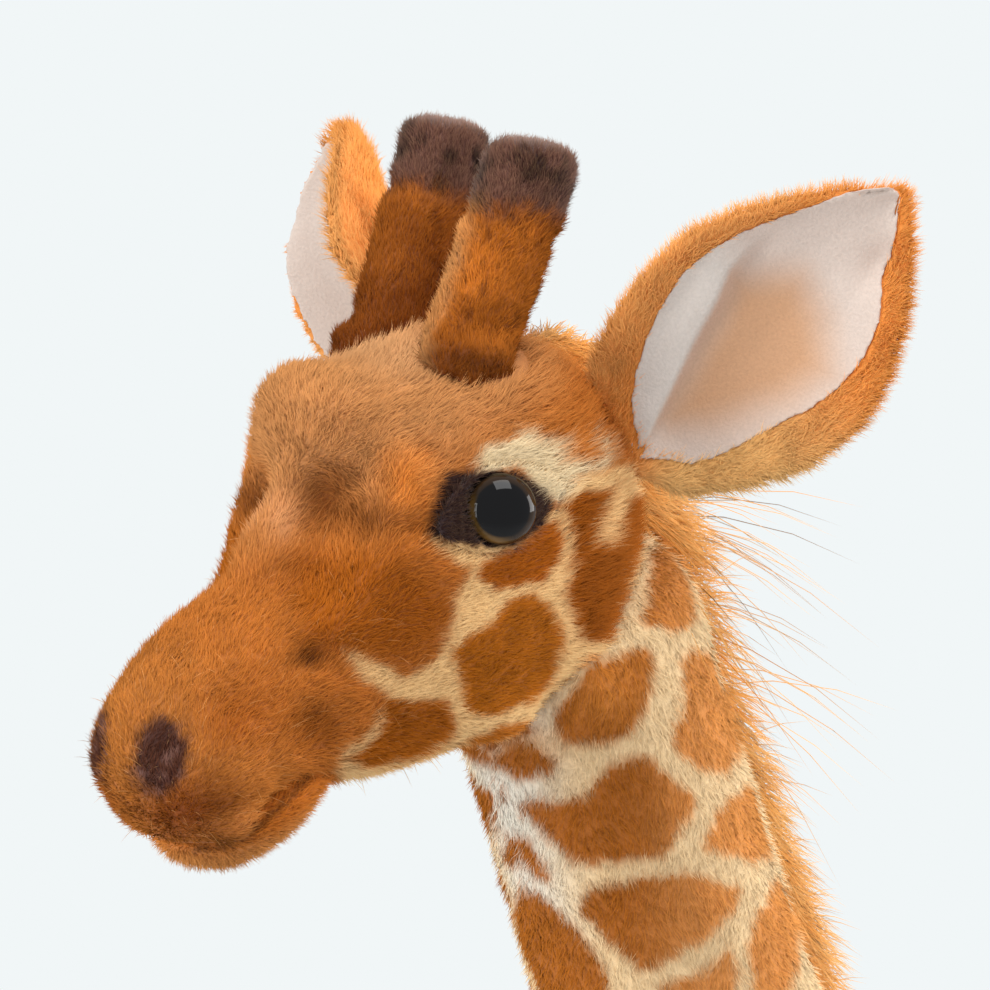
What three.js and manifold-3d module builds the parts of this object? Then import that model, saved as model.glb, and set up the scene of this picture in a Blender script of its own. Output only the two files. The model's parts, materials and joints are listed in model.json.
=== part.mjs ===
import * as THREE from 'three';
import { mergeVertices } from 'three/addons/utils/BufferGeometryUtils.js';
import Module from 'manifold-3d';

// A standing plush giraffe, in millimetres. +X is the toy's left, -Y is where it looks and +Z is up.
// The origin lies on the floor, under the middle of the toy.
// Each stuffed part is a solid: its cloth and the fibre that fills it.

// Stance
const floorToEye = 521;
const originToEye = 123;
const seamGap = 0.3;

// Head, measured along its own axis, which tips down towards the nose
const headPitch = THREE.MathUtils.degToRad(27);
const headBehindEye = 58;
const headBeforeEye = 95;
const headOver = 46;
const headUnder = 45;
const headHalfWidth = 38;
const headAxisDrop = 11;
const jawBack = 50;
const jawFront = 95;
const jawDrop = 36;
const jawHalfWidth = 18.5;
const jawHalfHeight = 12;

// Eyes: domed safety eyes on a ribbed post, locked by a washer behind the cloth
const eyeDiameter = 16.5;
const eyeDomeHeight = 6.4;
const eyeRimHeight = 1.2;
const eyePostDiameter = 4.2;
const eyePostLength = 14;
const eyePostRibs = 5;
const eyePostRibDepth = 0.45;
const eyeOut = 60;
const eyeForwardAim = 41;
const eyeUpAim = 7;
const washerDiameter = 15;
const washerThickness = 1.8;
const washerHubHeight = 1.6;
const washerTabs = 6;
const washerSlotWidth = 1.1;
const washerDepthBehindCloth = 6;
const patchThickness = 1.4;
const patchHalfLength = 15.5;
const patchHalfHeight = 10;
const patchRake = THREE.MathUtils.degToRad(16);

// Ears: a furred outer leaf with a velour lining sewn into its cup
const earLength = 88;
const earHalfWidth = 28;
const earThickness = 4;
const earLiningThickness = 1.5;
const earLiningMargin = 4.5;
const leftEarCup = 13;
const rightEarCup = 24;
const earBow = 6;
const earSideBow = 8;
const earRootForward = -46;
const earRootUp = 5;
const leftEarReachOut = 51;
const rightEarReachOut = 60;
const leftEarSweepBack = 47;
const rightEarSweepBack = 10;
const leftEarRise = 66;
const rightEarRise = 92;
const leftEarOpeningOut = 64;
const rightEarOpeningOut = 36;
const earOpeningForward = 76;
const earRootSunk = 5;
const earFlex = THREE.MathUtils.degToRad(20);

// Ossicones, the two stuffed horns
const leftOssiconeLength = 75;
const rightOssiconeLength = 79;
const ossiconeRadius = 10.8;
const ossiconeFootRadius = 11.5;
const ossiconeSpacing = 33;
const ossiconeFootForward = -4;
const ossiconeFootUp = 14;
const ossiconeSweepBack = THREE.MathUtils.degToRad(20);
const ossiconeCapLength = 18;
const ossiconeCapExtraRadius = 0.9;

// Neck and mane
const neckRadius = 32.5;
const neckFootRadius = 45;
const neckFootForward = -10;
const neckFootUp = 288;
const neckTopBehindEye = 45;
const neckTopBelowEye = 10;
const neckBow = 3;
const maneHalfWidth = 6;
const maneHeight = 13;

// Body
const bodyHalfWidth = 51;
const bodyOver = 62;
const bodyUnder = 68;
const bodyFront = 50;
const bodyBack = 186;
const chestUp = 284;
const rumpUp = 258;

// Legs and hooves
const frontLegForward = 13;
const rearLegFromRump = 33;
const legSpacing = 76;
const shoulderRadius = 30;
const shoulderUp = 268;
const thighRadius = 37;
const hipUp = 248;
const cannonRadius = 13.6;
const kneeUp = 122;
const kneeForward = 2;
const hockUp = 116;
const hockBack = 10;
const stifleForward = 13;
const hoofHeight = 35;
const hoofHalfWidth = 17.5;
const hoofHalfLength = 22;
const hoofTopRadius = 15;
const hoofCleftDepth = 4.2;
const soleThickness = 2.6;
const soleMargin = 1;

// Tail
const tailRootUp = 288;
const tailRadius = 5;
const tailLength = 112;
const tailDropBehind = 14;
const tuftLength = 72;
const tuftRadius = 12.5;
const tailSwing = THREE.MathUtils.degToRad(35);

// Sleeved steel wires inside the legs and the neck
const wireDiameter = 4.6;
const wireClearance = 0.4;
const wireFootUp = 12;
const frontWireCrownUp = 287;
const rearWireCrownUp = 240;
const spineWireBackUp = 272;
const spineWireFromRump = 46;

const wasm = await Module();
wasm.setup();

const acrossToy = new THREE.Vector3(1, 0, 0);
const upright = new THREE.Vector3(0, 0, 1);
const place = (x, forward, up) => new THREE.Vector3(x, -forward, up);
const sideSigns = { left: 1, right: -1 };

// Keeps only the corners of a geometry, welded, with its faces turned outwards
function welded(source) {
  const geometry = source.clone();
  geometry.deleteAttribute('normal');
  geometry.deleteAttribute('uv');
  const merged = mergeVertices(geometry);
  const corners = merged.getAttribute('position');
  const order = Array.from(merged.index.array);
  const corner = (k) => new THREE.Vector3().fromBufferAttribute(corners, order[k]);
  let sixVolumes = 0;
  for (let k = 0; k < order.length; k += 3) {
    sixVolumes += corner(k).dot(corner(k + 1).cross(corner(k + 2)));
  }
  if (sixVolumes < 0) order.reverse();
  merged.setIndex(order);
  return merged;
}

function solidFrom(geometry) {
  return new wasm.Manifold(new wasm.Mesh({
    numProp: 3,
    vertProperties: new Float32Array(geometry.getAttribute('position').array),
    triVerts: new Uint32Array(geometry.index.array),
  }));
}

function geometryFrom(solid) {
  const mesh = solid.getMesh();
  const geometry = new THREE.BufferGeometry();
  geometry.setAttribute('position', new THREE.BufferAttribute(mesh.vertProperties, mesh.numProp));
  geometry.setIndex(new THREE.BufferAttribute(mesh.triVerts, 1));
  return geometry;
}

const cut = (body, ...cutters) => geometryFrom(
  cutters.reduce((rest, cutter) => rest.subtract(solidFrom(cutter)), solidFrom(body)));

const overlap = (one, other) => geometryFrom(solidFrom(one).intersect(solidFrom(other)));

// A closed skin over rings of equal count, from a first point through the rings to a last point
function loft(firstPoint, rings, lastPoint) {
  const count = rings[0].length;
  const points = [firstPoint, ...rings.flat(), lastPoint];
  const faces = [];
  const at = (ring, k) => 1 + ring * count + (k % count);
  for (let k = 0; k < count; k++) {
    faces.push(0, at(0, k + 1), at(0, k));
    faces.push(points.length - 1, at(rings.length - 1, k), at(rings.length - 1, k + 1));
    for (let ring = 0; ring < rings.length - 1; ring++) {
      faces.push(at(ring, k), at(ring, k + 1), at(ring + 1, k + 1));
      faces.push(at(ring, k), at(ring + 1, k + 1), at(ring + 1, k));
    }
  }
  const geometry = new THREE.BufferGeometry().setFromPoints(points);
  geometry.setIndex(faces);
  return welded(geometry);
}

// Reads the columns of a table of [share, values...] rows on a smooth curve through the rows
function readTable(rows, share) {
  let from = 0;
  while (from < rows.length - 2 && share > rows[from + 1][0]) from++;
  const [before, start, end, after] = [from - 1, from, from + 1, from + 2].map(
    (row) => rows[THREE.MathUtils.clamp(row, 0, rows.length - 1)]);
  const span = end[0] - start[0];
  const t = THREE.MathUtils.clamp((share - start[0]) / span, 0, 1);
  return start.slice(1).map((_, column) => {
    const k = column + 1;
    const slopeIn = span * (end[k] - before[k]) / (end[0] - before[0]);
    const slopeOut = span * (after[k] - start[k]) / (after[0] - start[0]);
    return THREE.MathUtils.lerp(start[k], end[k], t * t * (3 - 2 * t))
      + t * (1 - t) * ((1 - t) * slopeIn - t * slopeOut);
  });
}

// How far a rounded end has opened at a share of the way from that end
function roundedEnd(share, endShare) {
  const left = Math.max(1 - share / endShare, 0);
  return Math.sqrt(1 - left * left);
}

// A sewn and stuffed form: rounded sections along a path, with a rounded end at each end.
// sizesAt gives the half width and the reach over and under the path at a share of its length.
function stuffedForm(path, sizesAt, shape, grow = 0) {
  const { sides, steps, firstEndShare, lastEndShare, squareness = 2 } = shape;
  const rings = [];
  for (let step = 1; step < steps; step++) {
    const share = (1 - Math.cos(Math.PI * step / steps)) / 2;
    const centre = path.getPointAt(share);
    const along = path.getTangentAt(share);
    const across = acrossToy.clone().addScaledVector(along, -acrossToy.dot(along)).normalize();
    const over = along.clone().cross(across);
    const opened = roundedEnd(share, firstEndShare) * roundedEnd(1 - share, lastEndShare);
    const [halfWidth, reachOver, reachUnder] = sizesAt(share).map((size) => size * opened + grow);
    rings.push(Array.from({ length: sides }, (_, k) => {
      const turn = 2 * Math.PI * k / sides;
      const [c, s] = [Math.cos(turn), Math.sin(turn)];
      const bulge = (value) => Math.sign(value) * Math.abs(value) ** (2 / squareness);
      const reach = s > 0 ? reachOver : reachUnder;
      return centre.clone()
        .addScaledVector(across, halfWidth * bulge(c))
        .addScaledVector(over, reach * bulge(s));
    }));
  }
  const first = path.getPointAt(0).addScaledVector(path.getTangentAt(0), -grow);
  const last = path.getPointAt(1).addScaledVector(path.getTangentAt(1), grow);
  return loft(first, rings, last);
}

const pathThrough = (...points) => new THREE.CatmullRomCurve3(points, false, 'centripetal');

// A round wire or its channel along a path
function wireAlong(path, diameter, steps) {
  const section = new THREE.Shape();
  const sides = 6;
  section.setFromPoints(Array.from({ length: sides }, (_, k) => new THREE.Vector2(
    diameter / 2 * Math.cos(2 * Math.PI * k / sides), diameter / 2 * Math.sin(2 * Math.PI * k / sides))));
  return welded(new THREE.ExtrudeGeometry(section, { steps, extrudePath: path, bevelEnabled: false }));
}

// Cuts a piece clear of its carrier, as it rests and as it swings both ways about an axis
function cutClearOf(carrier, piece, pivot, axis, swing) {
  const carrierTurned = (angle) => carrier.clone()
    .translate(-pivot.x, -pivot.y, -pivot.z)
    .applyQuaternion(new THREE.Quaternion().setFromAxisAngle(axis, angle))
    .translate(pivot.x, pivot.y, pivot.z);
  return cut(piece, ...[-1, -0.5, 0, 0.5, 1].map((share) => carrierTurned(swing * share)));
}

// Where a ray that comes in along a direction first meets a solid
function landingPoint(geometry, aim, towards, reach) {
  const target = new THREE.Mesh(geometry, new THREE.MeshBasicMaterial({ side: THREE.DoubleSide }));
  const start = aim.clone().addScaledVector(towards, -reach);
  return new THREE.Raycaster(start, towards.clone().normalize()).intersectObject(target)[0].point;
}

// Head
const eyeLevel = place(0, originToEye, floorToEye);
const headForward = place(0, Math.cos(headPitch), -Math.sin(headPitch));
const headUp = place(0, Math.sin(headPitch), Math.cos(headPitch));
const inHead = (x, along, up) => eyeLevel.clone()
  .addScaledVector(acrossToy, x)
  .addScaledVector(headForward, along)
  .addScaledVector(headUp, up);

const headPath = pathThrough(
  inHead(0, -headBehindEye, -headAxisDrop / 2),
  inHead(0, 0, -headAxisDrop),
  inHead(0, headBeforeEye / 2, -headAxisDrop * 3 / 2),
  inHead(0, headBeforeEye, -headAxisDrop * 4 / 3));

// Share of the way to the nose, then shares of the half width, the reach over and the reach under:
// skull, brow, the step down to the nose bridge, the slim bridge and the broad soft muzzle
const headProfileShares = [
  [0.00, 0.84, 0.76, 0.88],
  [0.25, 1.00, 0.96, 0.98],
  [0.37, 0.98, 1.03, 1.00],
  [0.46, 0.93, 1.08, 0.98],
  [0.53, 0.87, 0.98, 0.90],
  [0.60, 0.75, 0.72, 0.80],
  [0.67, 0.66, 0.61, 0.66],
  [0.74, 0.60, 0.57, 0.47],
  [0.82, 0.58, 0.52, 0.38],
  [0.90, 0.62, 0.44, 0.38],
  [1.00, 0.62, 0.36, 0.39],
];
const headShape = { sides: 28, steps: 24, firstEndShare: 0.22, lastEndShare: 0.1, squareness: 2.25 };

function headForm(grow) {
  const sizes = [headHalfWidth, headOver, headUnder];
  const sizesAt = (share) => readTable(headProfileShares, share).map((part, k) => part * sizes[k]);
  return stuffedForm(headPath, sizesAt, headShape, grow);
}

const jawPath = pathThrough(
  inHead(0, jawBack, -jawDrop),
  inHead(0, (jawBack + jawFront) / 2, -jawDrop),
  inHead(0, jawFront, -jawDrop + jawHalfHeight / 4));
const jawProfileShares = [
  [0.0, 0.90, 0.8, 0.70],
  [0.4, 1.00, 1.0, 0.90],
  [0.8, 0.96, 1.0, 1.00],
  [1.0, 0.90, 0.9, 0.90],
];
const jawShape = { sides: 20, steps: 12, firstEndShare: 0.35, lastEndShare: 0.3 };

function jawForm(grow) {
  const sizes = [jawHalfWidth, jawHalfHeight, jawHalfHeight];
  const sizesAt = (share) => readTable(jawProfileShares, share).map((part, k) => part * sizes[k]);
  return stuffedForm(jawPath, sizesAt, jawShape, grow);
}

// Body and neck
const bodyPath = pathThrough(
  place(0, -bodyBack, rumpUp),
  place(0, -(bodyBack - bodyFront) / 2, (rumpUp + chestUp) / 2),
  place(0, bodyFront, chestUp));
const bodyProfileShares = [
  [0.00, 0.90, 0.76, 0.74],
  [0.20, 0.95, 0.80, 0.76],
  [0.45, 0.98, 0.86, 0.88],
  [0.70, 1.00, 1.00, 1.00],
  [0.86, 0.94, 0.94, 0.98],
  [1.00, 0.84, 0.84, 0.88],
];
const bodyShape = { sides: 24, steps: 16, firstEndShare: 0.26, lastEndShare: 0.24, squareness: 2.1 };

function bodyForm(grow) {
  const sizes = [bodyHalfWidth, bodyOver, bodyUnder];
  const sizesAt = (share) => readTable(bodyProfileShares, share).map((part, k) => part * sizes[k]);
  return stuffedForm(bodyPath, sizesAt, bodyShape, grow);
}

const neckFoot = place(0, neckFootForward, neckFootUp);
const neckTop = place(0, originToEye - neckTopBehindEye, floorToEye - neckTopBelowEye);
const neckMiddle = neckFoot.clone().lerp(neckTop, 0.5).add(place(0, neckBow, 0));
const neckPath = pathThrough(neckFoot, neckMiddle, neckTop);
const neckFlareShares = [
  [0.00, 1.00],
  [0.22, 0.55],
  [0.50, 0.12],
  [0.75, 0.00],
  [1.00, 0.00],
];
const neckShape = { sides: 22, steps: 16, firstEndShare: 0.12, lastEndShare: 0.1 };

function neckSizesAt(share) {
  const [flare] = readTable(neckFlareShares, share);
  const radius = THREE.MathUtils.lerp(neckRadius, neckFootRadius, flare);
  return [radius * (1 - flare / 8), radius, radius];
}

const neckForm = (grow) => stuffedForm(neckPath, neckSizesAt, neckShape, grow);

// Mane, a strip that stands on the nape from the crown to the withers
const nape = (share, sunk) => neckPath.getPointAt(share).add(
  place(0, -Math.cos(share) * (neckSizesAt(share)[1] - sunk), neckRadius / 4));
const manePath = pathThrough(
  inHead(0, -headBehindEye * 3 / 4, headOver / 3),
  inHead(0, -headBehindEye - maneHalfWidth / 2, 0),
  nape(0.78, seamGap),
  nape(0.55, seamGap),
  nape(0.32, seamGap));
const maneShape = { sides: 10, steps: 18, firstEndShare: 0.3, lastEndShare: 0.25 };
const maneForm = () => stuffedForm(
  manePath, () => [maneHalfWidth, maneHeight, maneHeight], maneShape);

// Legs. Each path runs down from inside the body to the top of the hoof.
const legOut = legSpacing / 2;
const rearLegBack = bodyBack - rearLegFromRump;
const legPaths = {
  front: (sign) => pathThrough(
    place(sign * (legOut - hoofHalfWidth / 2), frontLegForward - kneeForward, shoulderUp),
    place(sign * (legOut - hoofHalfWidth / 4), frontLegForward - kneeForward, (shoulderUp + kneeUp) / 2),
    place(sign * legOut, frontLegForward + kneeForward, kneeUp),
    place(sign * legOut, frontLegForward, (kneeUp + hoofHeight) / 2),
    place(sign * legOut, frontLegForward, hoofHeight + seamGap)),
  rear: (sign) => pathThrough(
    place(sign * (legOut - hoofHalfWidth / 2), -rearLegBack, hipUp),
    place(sign * (legOut - hoofHalfWidth / 4), -rearLegBack + stifleForward, (hipUp + hockUp) / 2),
    place(sign * legOut, -rearLegBack - hockBack, hockUp),
    place(sign * legOut, -rearLegBack - hockBack / 4, (hockUp + hoofHeight) / 2),
    place(sign * legOut, -rearLegBack, hoofHeight + seamGap)),
};
// Share of the way down, how much of the shoulder's or the thigh's fullness is left, and the joint's swell
const legTaperShares = [
  [0.00, 1.00, 0.00],
  [0.18, 0.86, 0.00],
  [0.36, 0.44, 0.00],
  [0.52, 0.16, 0.00],
  [0.62, 0.06, 1.00],
  [0.73, 0.00, 0.10],
  [0.85, 0.00, 0.00],
  [0.95, 0.00, 0.60],
  [1.00, 0.00, 0.45],
];
const jointSwell = 1.22;
const legShape = { sides: 16, steps: 16, firstEndShare: 0.12, lastEndShare: 0.03 };

function legForm(pair, sign, grow) {
  const topRadius = pair === 'front' ? shoulderRadius : thighRadius;
  const sizesAt = (share) => {
    const [fullness, swell] = readTable(legTaperShares, share);
    const slim = cannonRadius * THREE.MathUtils.lerp(1, jointSwell, swell);
    const deep = THREE.MathUtils.lerp(slim, topRadius, fullness);
    const wide = THREE.MathUtils.lerp(slim, topRadius * 0.8, fullness);
    return [wide, deep, deep];
  };
  return stuffedForm(legPaths[pair](sign), sizesAt, legShape, grow);
}

// Hooves: an oval foot with a cleft at its toe, over a stiff flat sole
const hoofForward = { front: frontLegForward, rear: -rearLegBack };
const hoofSides = 24;

function hoofRing(centre, halfWidth, halfLength, cleft) {
  return Array.from({ length: hoofSides }, (_, k) => {
    const turn = 2 * Math.PI * k / hoofSides;
    const fromToe = Math.abs(turn - Math.PI * 3 / 2);
    const notch = cleft * Math.exp(-((fromToe / (Math.PI / 10)) ** 2));
    return centre.clone().add(new THREE.Vector3(
      halfWidth * Math.cos(turn), (halfLength - notch) * Math.sin(turn), 0));
  });
}

function hoofForm(pair, sign, grow) {
  const foot = place(sign * legOut, hoofForward[pair], soleThickness + seamGap - grow);
  const top = place(sign * legOut, hoofForward[pair], hoofHeight + grow);
  const layerShares = [[0, 1, 1], [0.2, 1, 1], [0.55, 0.86, 0.7], [0.85, 0.3, 0.2], [1, 0, 0]];
  const rings = layerShares.map(([height, fullness, cleft]) => {
    const centre = foot.clone().lerp(top, height).add(place(0, hoofHalfLength / 8 * fullness, 0));
    return hoofRing(
      centre,
      THREE.MathUtils.lerp(hoofTopRadius, hoofHalfWidth, fullness) + grow,
      THREE.MathUtils.lerp(hoofTopRadius, hoofHalfLength, fullness) + grow,
      hoofCleftDepth * cleft);
  });
  return loft(foot.clone().add(place(0, hoofHalfLength / 8, 0)), rings, top);
}

function soleForm(pair, sign) {
  const floor = place(sign * legOut, hoofForward[pair] + hoofHalfLength / 8, 0);
  const top = floor.clone().add(place(0, 0, soleThickness));
  const ring = (centre) => hoofRing(
    centre, hoofHalfWidth - soleMargin, hoofHalfLength - soleMargin, hoofCleftDepth);
  return loft(floor, [ring(floor), ring(top)], top);
}

// Ossicones stand on the crown and sweep back, each with a dark cap drawn over its end
const ossiconeLength = (sign) => (sign > 0 ? leftOssiconeLength : rightOssiconeLength);

function ossiconePath(sign, from, to) {
  const foot = place(
    sign * ossiconeSpacing / 2, originToEye + ossiconeFootForward, floorToEye + ossiconeFootUp);
  const rise = place(0, -Math.sin(ossiconeSweepBack), Math.cos(ossiconeSweepBack));
  const at = (distance) => foot.clone().addScaledVector(rise, distance);
  return new THREE.LineCurve3(at(from), at(to));
}

const ossiconeShape = { sides: 18, steps: 10, firstEndShare: 0.1, lastEndShare: 0.08 };
const capShape = { sides: 18, steps: 9, firstEndShare: 0.08, lastEndShare: 0.42, squareness: 2.2 };

function ossiconeForm(sign) {
  const stump = ossiconePath(sign, 0, ossiconeLength(sign) - ossiconeCapLength - seamGap);
  const sizesAt = (share) => {
    const settled = Math.sin(share * Math.PI / 2);
    const radius = THREE.MathUtils.lerp(ossiconeFootRadius, ossiconeRadius, settled);
    return [radius, radius, radius];
  };
  return stuffedForm(stump, sizesAt, ossiconeShape);
}

function ossiconeCapForm(sign) {
  const radius = ossiconeRadius + ossiconeCapExtraRadius;
  const length = ossiconeLength(sign);
  const path = ossiconePath(sign, length - ossiconeCapLength, length);
  return stuffedForm(path, () => [radius, radius, radius], capShape);
}

// Ears. A leaf is laid out on its own axes: along to the tip, across it, and out of its cup.
// Share of the way to the tip, then shares of the half width and of the cup's depth
const earLeafShares = [
  [0.00, 0.50, 0.10],
  [0.15, 0.74, 0.50],
  [0.35, 0.96, 0.88],
  [0.52, 1.00, 1.00],
  [0.70, 0.88, 0.78],
  [0.86, 0.62, 0.42],
  [1.00, 0.24, 0.20],
];
const earRings = 13;
const earSpanPoints = 7;

function earAxes(side) {
  const sign = sideSigns[side];
  const reachOut = side === 'left' ? leftEarReachOut : rightEarReachOut;
  const sweepBack = side === 'left' ? leftEarSweepBack : rightEarSweepBack;
  const rise = side === 'left' ? leftEarRise : rightEarRise;
  const along = place(sign * reachOut, -sweepBack, rise).normalize();
  const openingOut = side === 'left' ? leftEarOpeningOut : rightEarOpeningOut;
  const opening = place(sign * openingOut, earOpeningForward, 0);
  const outOfCup = opening.addScaledVector(along, -opening.dot(along)).normalize();
  const across = outOfCup.clone().cross(along).multiplyScalar(sign);
  const aim = eyeLevel.clone().add(place(sign * headHalfWidth / 2, earRootForward, earRootUp));
  const root = landingPoint(headForm(seamGap), aim, along.clone().negate(), earLength);
  return { along, across, outOfCup, root };
}

// A layer of the leaf between two heights over its middle surface
function earLayer(side, lowHeight, highHeight, start, margin) {
  const { along, across, outOfCup, root } = earAxes(side);
  const cupDepth = side === 'left' ? leftEarCup : rightEarCup;
  const onLeaf = (share, span, height) => {
    const [width, cup] = readTable(earLeafShares, share);
    const halfWidth = earHalfWidth * width * roundedEnd(1 - share, 0.16) - margin;
    const sideways = Math.max(halfWidth, seamGap) * span - earSideBow * Math.sin(Math.PI * share);
    return root.clone()
      .addScaledVector(along, earLength * share)
      .addScaledVector(across, sideways)
      .addScaledVector(outOfCup, cupDepth * cup * span * span + earBow * share * share + height);
  };
  const end = 1 - margin / earLength;
  const spans = Array.from({ length: earSpanPoints }, (_, k) => 2 * k / (earSpanPoints - 1) - 1);
  const rings = Array.from({ length: earRings }, (_, ring) => {
    const spread = Math.sin((ring + 1) / (earRings + 1) * Math.PI / 2);
    const share = THREE.MathUtils.lerp(start / earLength, end, spread);
    const high = spans.map((span) => onLeaf(share, span, highHeight));
    const low = spans.map((span) => onLeaf(share, span, lowHeight));
    return [...high, ...low.reverse()];
  });
  const middle = (share) => onLeaf(share, 0, (lowHeight + highHeight) / 2);
  return loft(middle(start / earLength), rings, middle(end));
}

// The outer ear bends both ways at its seam without touching the head
function earForm(side) {
  const leaf = earLayer(side, -earThickness / 2, earThickness / 2, -earRootSunk, 0);
  const { across, root } = earAxes(side);
  return cutClearOf(headForm(seamGap), leaf, root, across, earFlex);
}

function earLiningForm(side) {
  const seat = earThickness / 2 + seamGap;
  const leaf = earLayer(side, seat, seat + earLiningThickness, earLiningMargin, earLiningMargin);
  const { across, root } = earAxes(side);
  return cutClearOf(headForm(seamGap), leaf, root, across, earFlex);
}

// Eyes
const eyeSides = 18;
function eyeFrame(sign) {
  const outwards = place(sign * eyeOut, eyeForwardAim, eyeUpAim).normalize();
  const aim = eyeLevel.clone().add(place(0, -headHalfWidth * eyeForwardAim / eyeOut, 0));
  const seat = landingPoint(headForm(0), aim, outwards.clone().negate(), headHalfWidth * 3);
  return { outwards, seat };
}

// Turns a profile of [radius, height] pairs round the axis that points out of the eye
function turnedAtEye(profile, sides, sign, grow = 0) {
  const { outwards, seat } = eyeFrame(sign);
  const points = profile.map(([radius, height]) => new THREE.Vector2(radius, height));
  const geometry = welded(new THREE.LatheGeometry(points, sides));
  const turn = new THREE.Quaternion().setFromUnitVectors(new THREE.Vector3(0, 1, 0), outwards);
  geometry.applyQuaternion(turn);
  const lift = outwards.clone().multiplyScalar(grow);
  return geometry.translate(seat.x + lift.x, seat.y + lift.y, seat.z + lift.z);
}

const patchTop = seamGap + patchThickness;
const eyeSeatHeight = patchTop + seamGap - eyeRimHeight;

function eyeForm(sign) {
  const rim = eyeDiameter / 2;
  const post = eyePostDiameter / 2;
  const bottom = eyeSeatHeight - eyePostLength;
  const profile = [[0, bottom], [post - eyePostRibDepth, bottom]];
  const pitch = (eyePostLength - eyeDomeHeight) / eyePostRibs;
  for (let rib = 0; rib < eyePostRibs; rib++) {
    const foot = bottom + pitch * (rib + 0.5);
    profile.push([post - eyePostRibDepth, foot], [post, foot + pitch / 3]);
  }
  profile.push([post, eyeSeatHeight], [rim - eyeRimHeight / 2, eyeSeatHeight]);
  const arcSteps = 6;
  for (let step = 0; step <= arcSteps; step++) {
    const turn = Math.PI / 2 * step / arcSteps;
    profile.push([
      rim * Math.cos(turn),
      eyeSeatHeight + eyeRimHeight + (eyeDomeHeight - eyeRimHeight) * Math.sin(turn)]);
  }
  return turnedAtEye(profile, eyeSides, sign);
}

// The room that the eye's post, rim and washer take in the head
function eyeRoom(sign) {
  const bore = eyePostDiameter / 2 + seamGap;
  const rim = eyeDiameter / 2 + seamGap;
  const floor = eyeSeatHeight - seamGap;
  const bottom = eyeSeatHeight - eyePostLength - seamGap;
  const washerTop = -washerDepthBehindCloth + seamGap;
  const washerBottom = -washerDepthBehindCloth - washerThickness - washerHubHeight - seamGap;
  const room = washerDiameter / 2 + seamGap;
  return turnedAtEye([
    [0, bottom], [bore, bottom], [bore, washerBottom], [room, washerBottom], [room, washerTop],
    [bore, washerTop], [bore, floor], [rim, floor], [rim, eyeSeatHeight + eyeDomeHeight],
    [0, eyeSeatHeight + eyeDomeHeight]], eyeSides, sign);
}

function washerForm(sign) {
  const bore = eyePostDiameter / 2 + seamGap;
  const hub = bore + washerThickness;
  const face = -washerDepthBehindCloth;
  const back = face - washerThickness;
  const disc = turnedAtEye([
    [bore, back - washerHubHeight], [hub, back - washerHubHeight], [hub, back],
    [washerDiameter / 2, back], [washerDiameter / 2, face], [bore, face],
    [bore, back - washerHubHeight]], eyeSides, sign);
  const { outwards, seat } = eyeFrame(sign);
  const slotLength = washerDiameter / 2 - hub;
  const slots = Array.from({ length: washerTabs }, (_, tab) => {
    const slot = new THREE.BoxGeometry(slotLength, washerThickness * 3, washerSlotWidth);
    slot.translate(hub + slotLength, back, 0);
    slot.rotateY(2 * Math.PI * tab / washerTabs);
    slot.applyQuaternion(new THREE.Quaternion().setFromUnitVectors(new THREE.Vector3(0, 1, 0), outwards));
    return welded(slot.translate(seat.x, seat.y, seat.z));
  });
  return cut(disc, ...slots);
}

// The dark patch: the part of a thin layer over the head that lies within an almond outline
function patchForm(sign) {
  const { outwards, seat } = eyeFrame(sign);
  const corners = 20;
  const outline = new THREE.Shape(Array.from({ length: corners }, (_, k) => {
    const turn = 2 * Math.PI * k / corners;
    const taper = Math.abs(Math.sin(turn)) ** 1.5 * Math.sign(Math.sin(turn));
    return new THREE.Vector2(patchHalfLength * Math.cos(turn), patchHalfHeight * taper);
  }));
  const depth = headHalfWidth;
  const prism = new THREE.ExtrudeGeometry(outline, { depth, bevelEnabled: false });
  prism.translate(0, 0, -depth / 2);
  prism.rotateZ(sign * patchRake);
  const sideways = upright.clone().cross(outwards).normalize();
  const basis = new THREE.Matrix4().makeBasis(sideways, outwards.clone().cross(sideways), outwards);
  prism.applyMatrix4(basis).translate(seat.x, seat.y, seat.z);
  const layer = cut(headForm(patchTop), headForm(seamGap));
  return cut(overlap(layer, welded(prism)), eyeRoom(sign));
}

// Wires
function legWirePath(pair, crownUp) {
  const steps = [1, 0.75, 0.5, 0.3];
  const down = steps.map((share) => legPaths[pair](1).getPointAt(share));
  const across = (point) => new THREE.Vector3(-point.x, point.y, point.z);
  const foot = down[0].clone().setZ(wireFootUp);
  const crown = place(0, hoofForward[pair], crownUp);
  const left = [foot, ...down.slice(1)];
  return pathThrough(...left, crown, ...left.map(across).reverse());
}

const spineWireBack = bodyBack - spineWireFromRump;
const wirePaths = {
  front_leg_wire: legWirePath('front', frontWireCrownUp),
  rear_leg_wire: legWirePath('rear', rearWireCrownUp),
  spine_wire: pathThrough(
    place(0, -spineWireBack, spineWireBackUp),
    place(0, -spineWireBack / 2, (spineWireBackUp + chestUp) / 2),
    neckPath.getPointAt(0.16),
    neckPath.getPointAt(0.5),
    neckPath.getPointAt(0.96)),
};
const wireSteps = { front_leg_wire: 36, rear_leg_wire: 36, spine_wire: 24 };

// The stretch of a path that stops short of both its ends
class ShortenedPath extends THREE.Curve {
  constructor(path, endSpace) {
    super();
    this.path = path;
    this.endShare = endSpace / path.getLength();
  }

  getPoint(share) {
    return this.path.getPointAt(THREE.MathUtils.lerp(this.endShare, 1 - this.endShare, share));
  }
}

const wireForm = (name) => wireAlong(
  new ShortenedPath(wirePaths[name], wireClearance), wireDiameter, wireSteps[name]);

function wireChannel(name) {
  return wireAlong(wirePaths[name], wireDiameter + 2 * wireClearance, wireSteps[name]);
}

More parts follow.
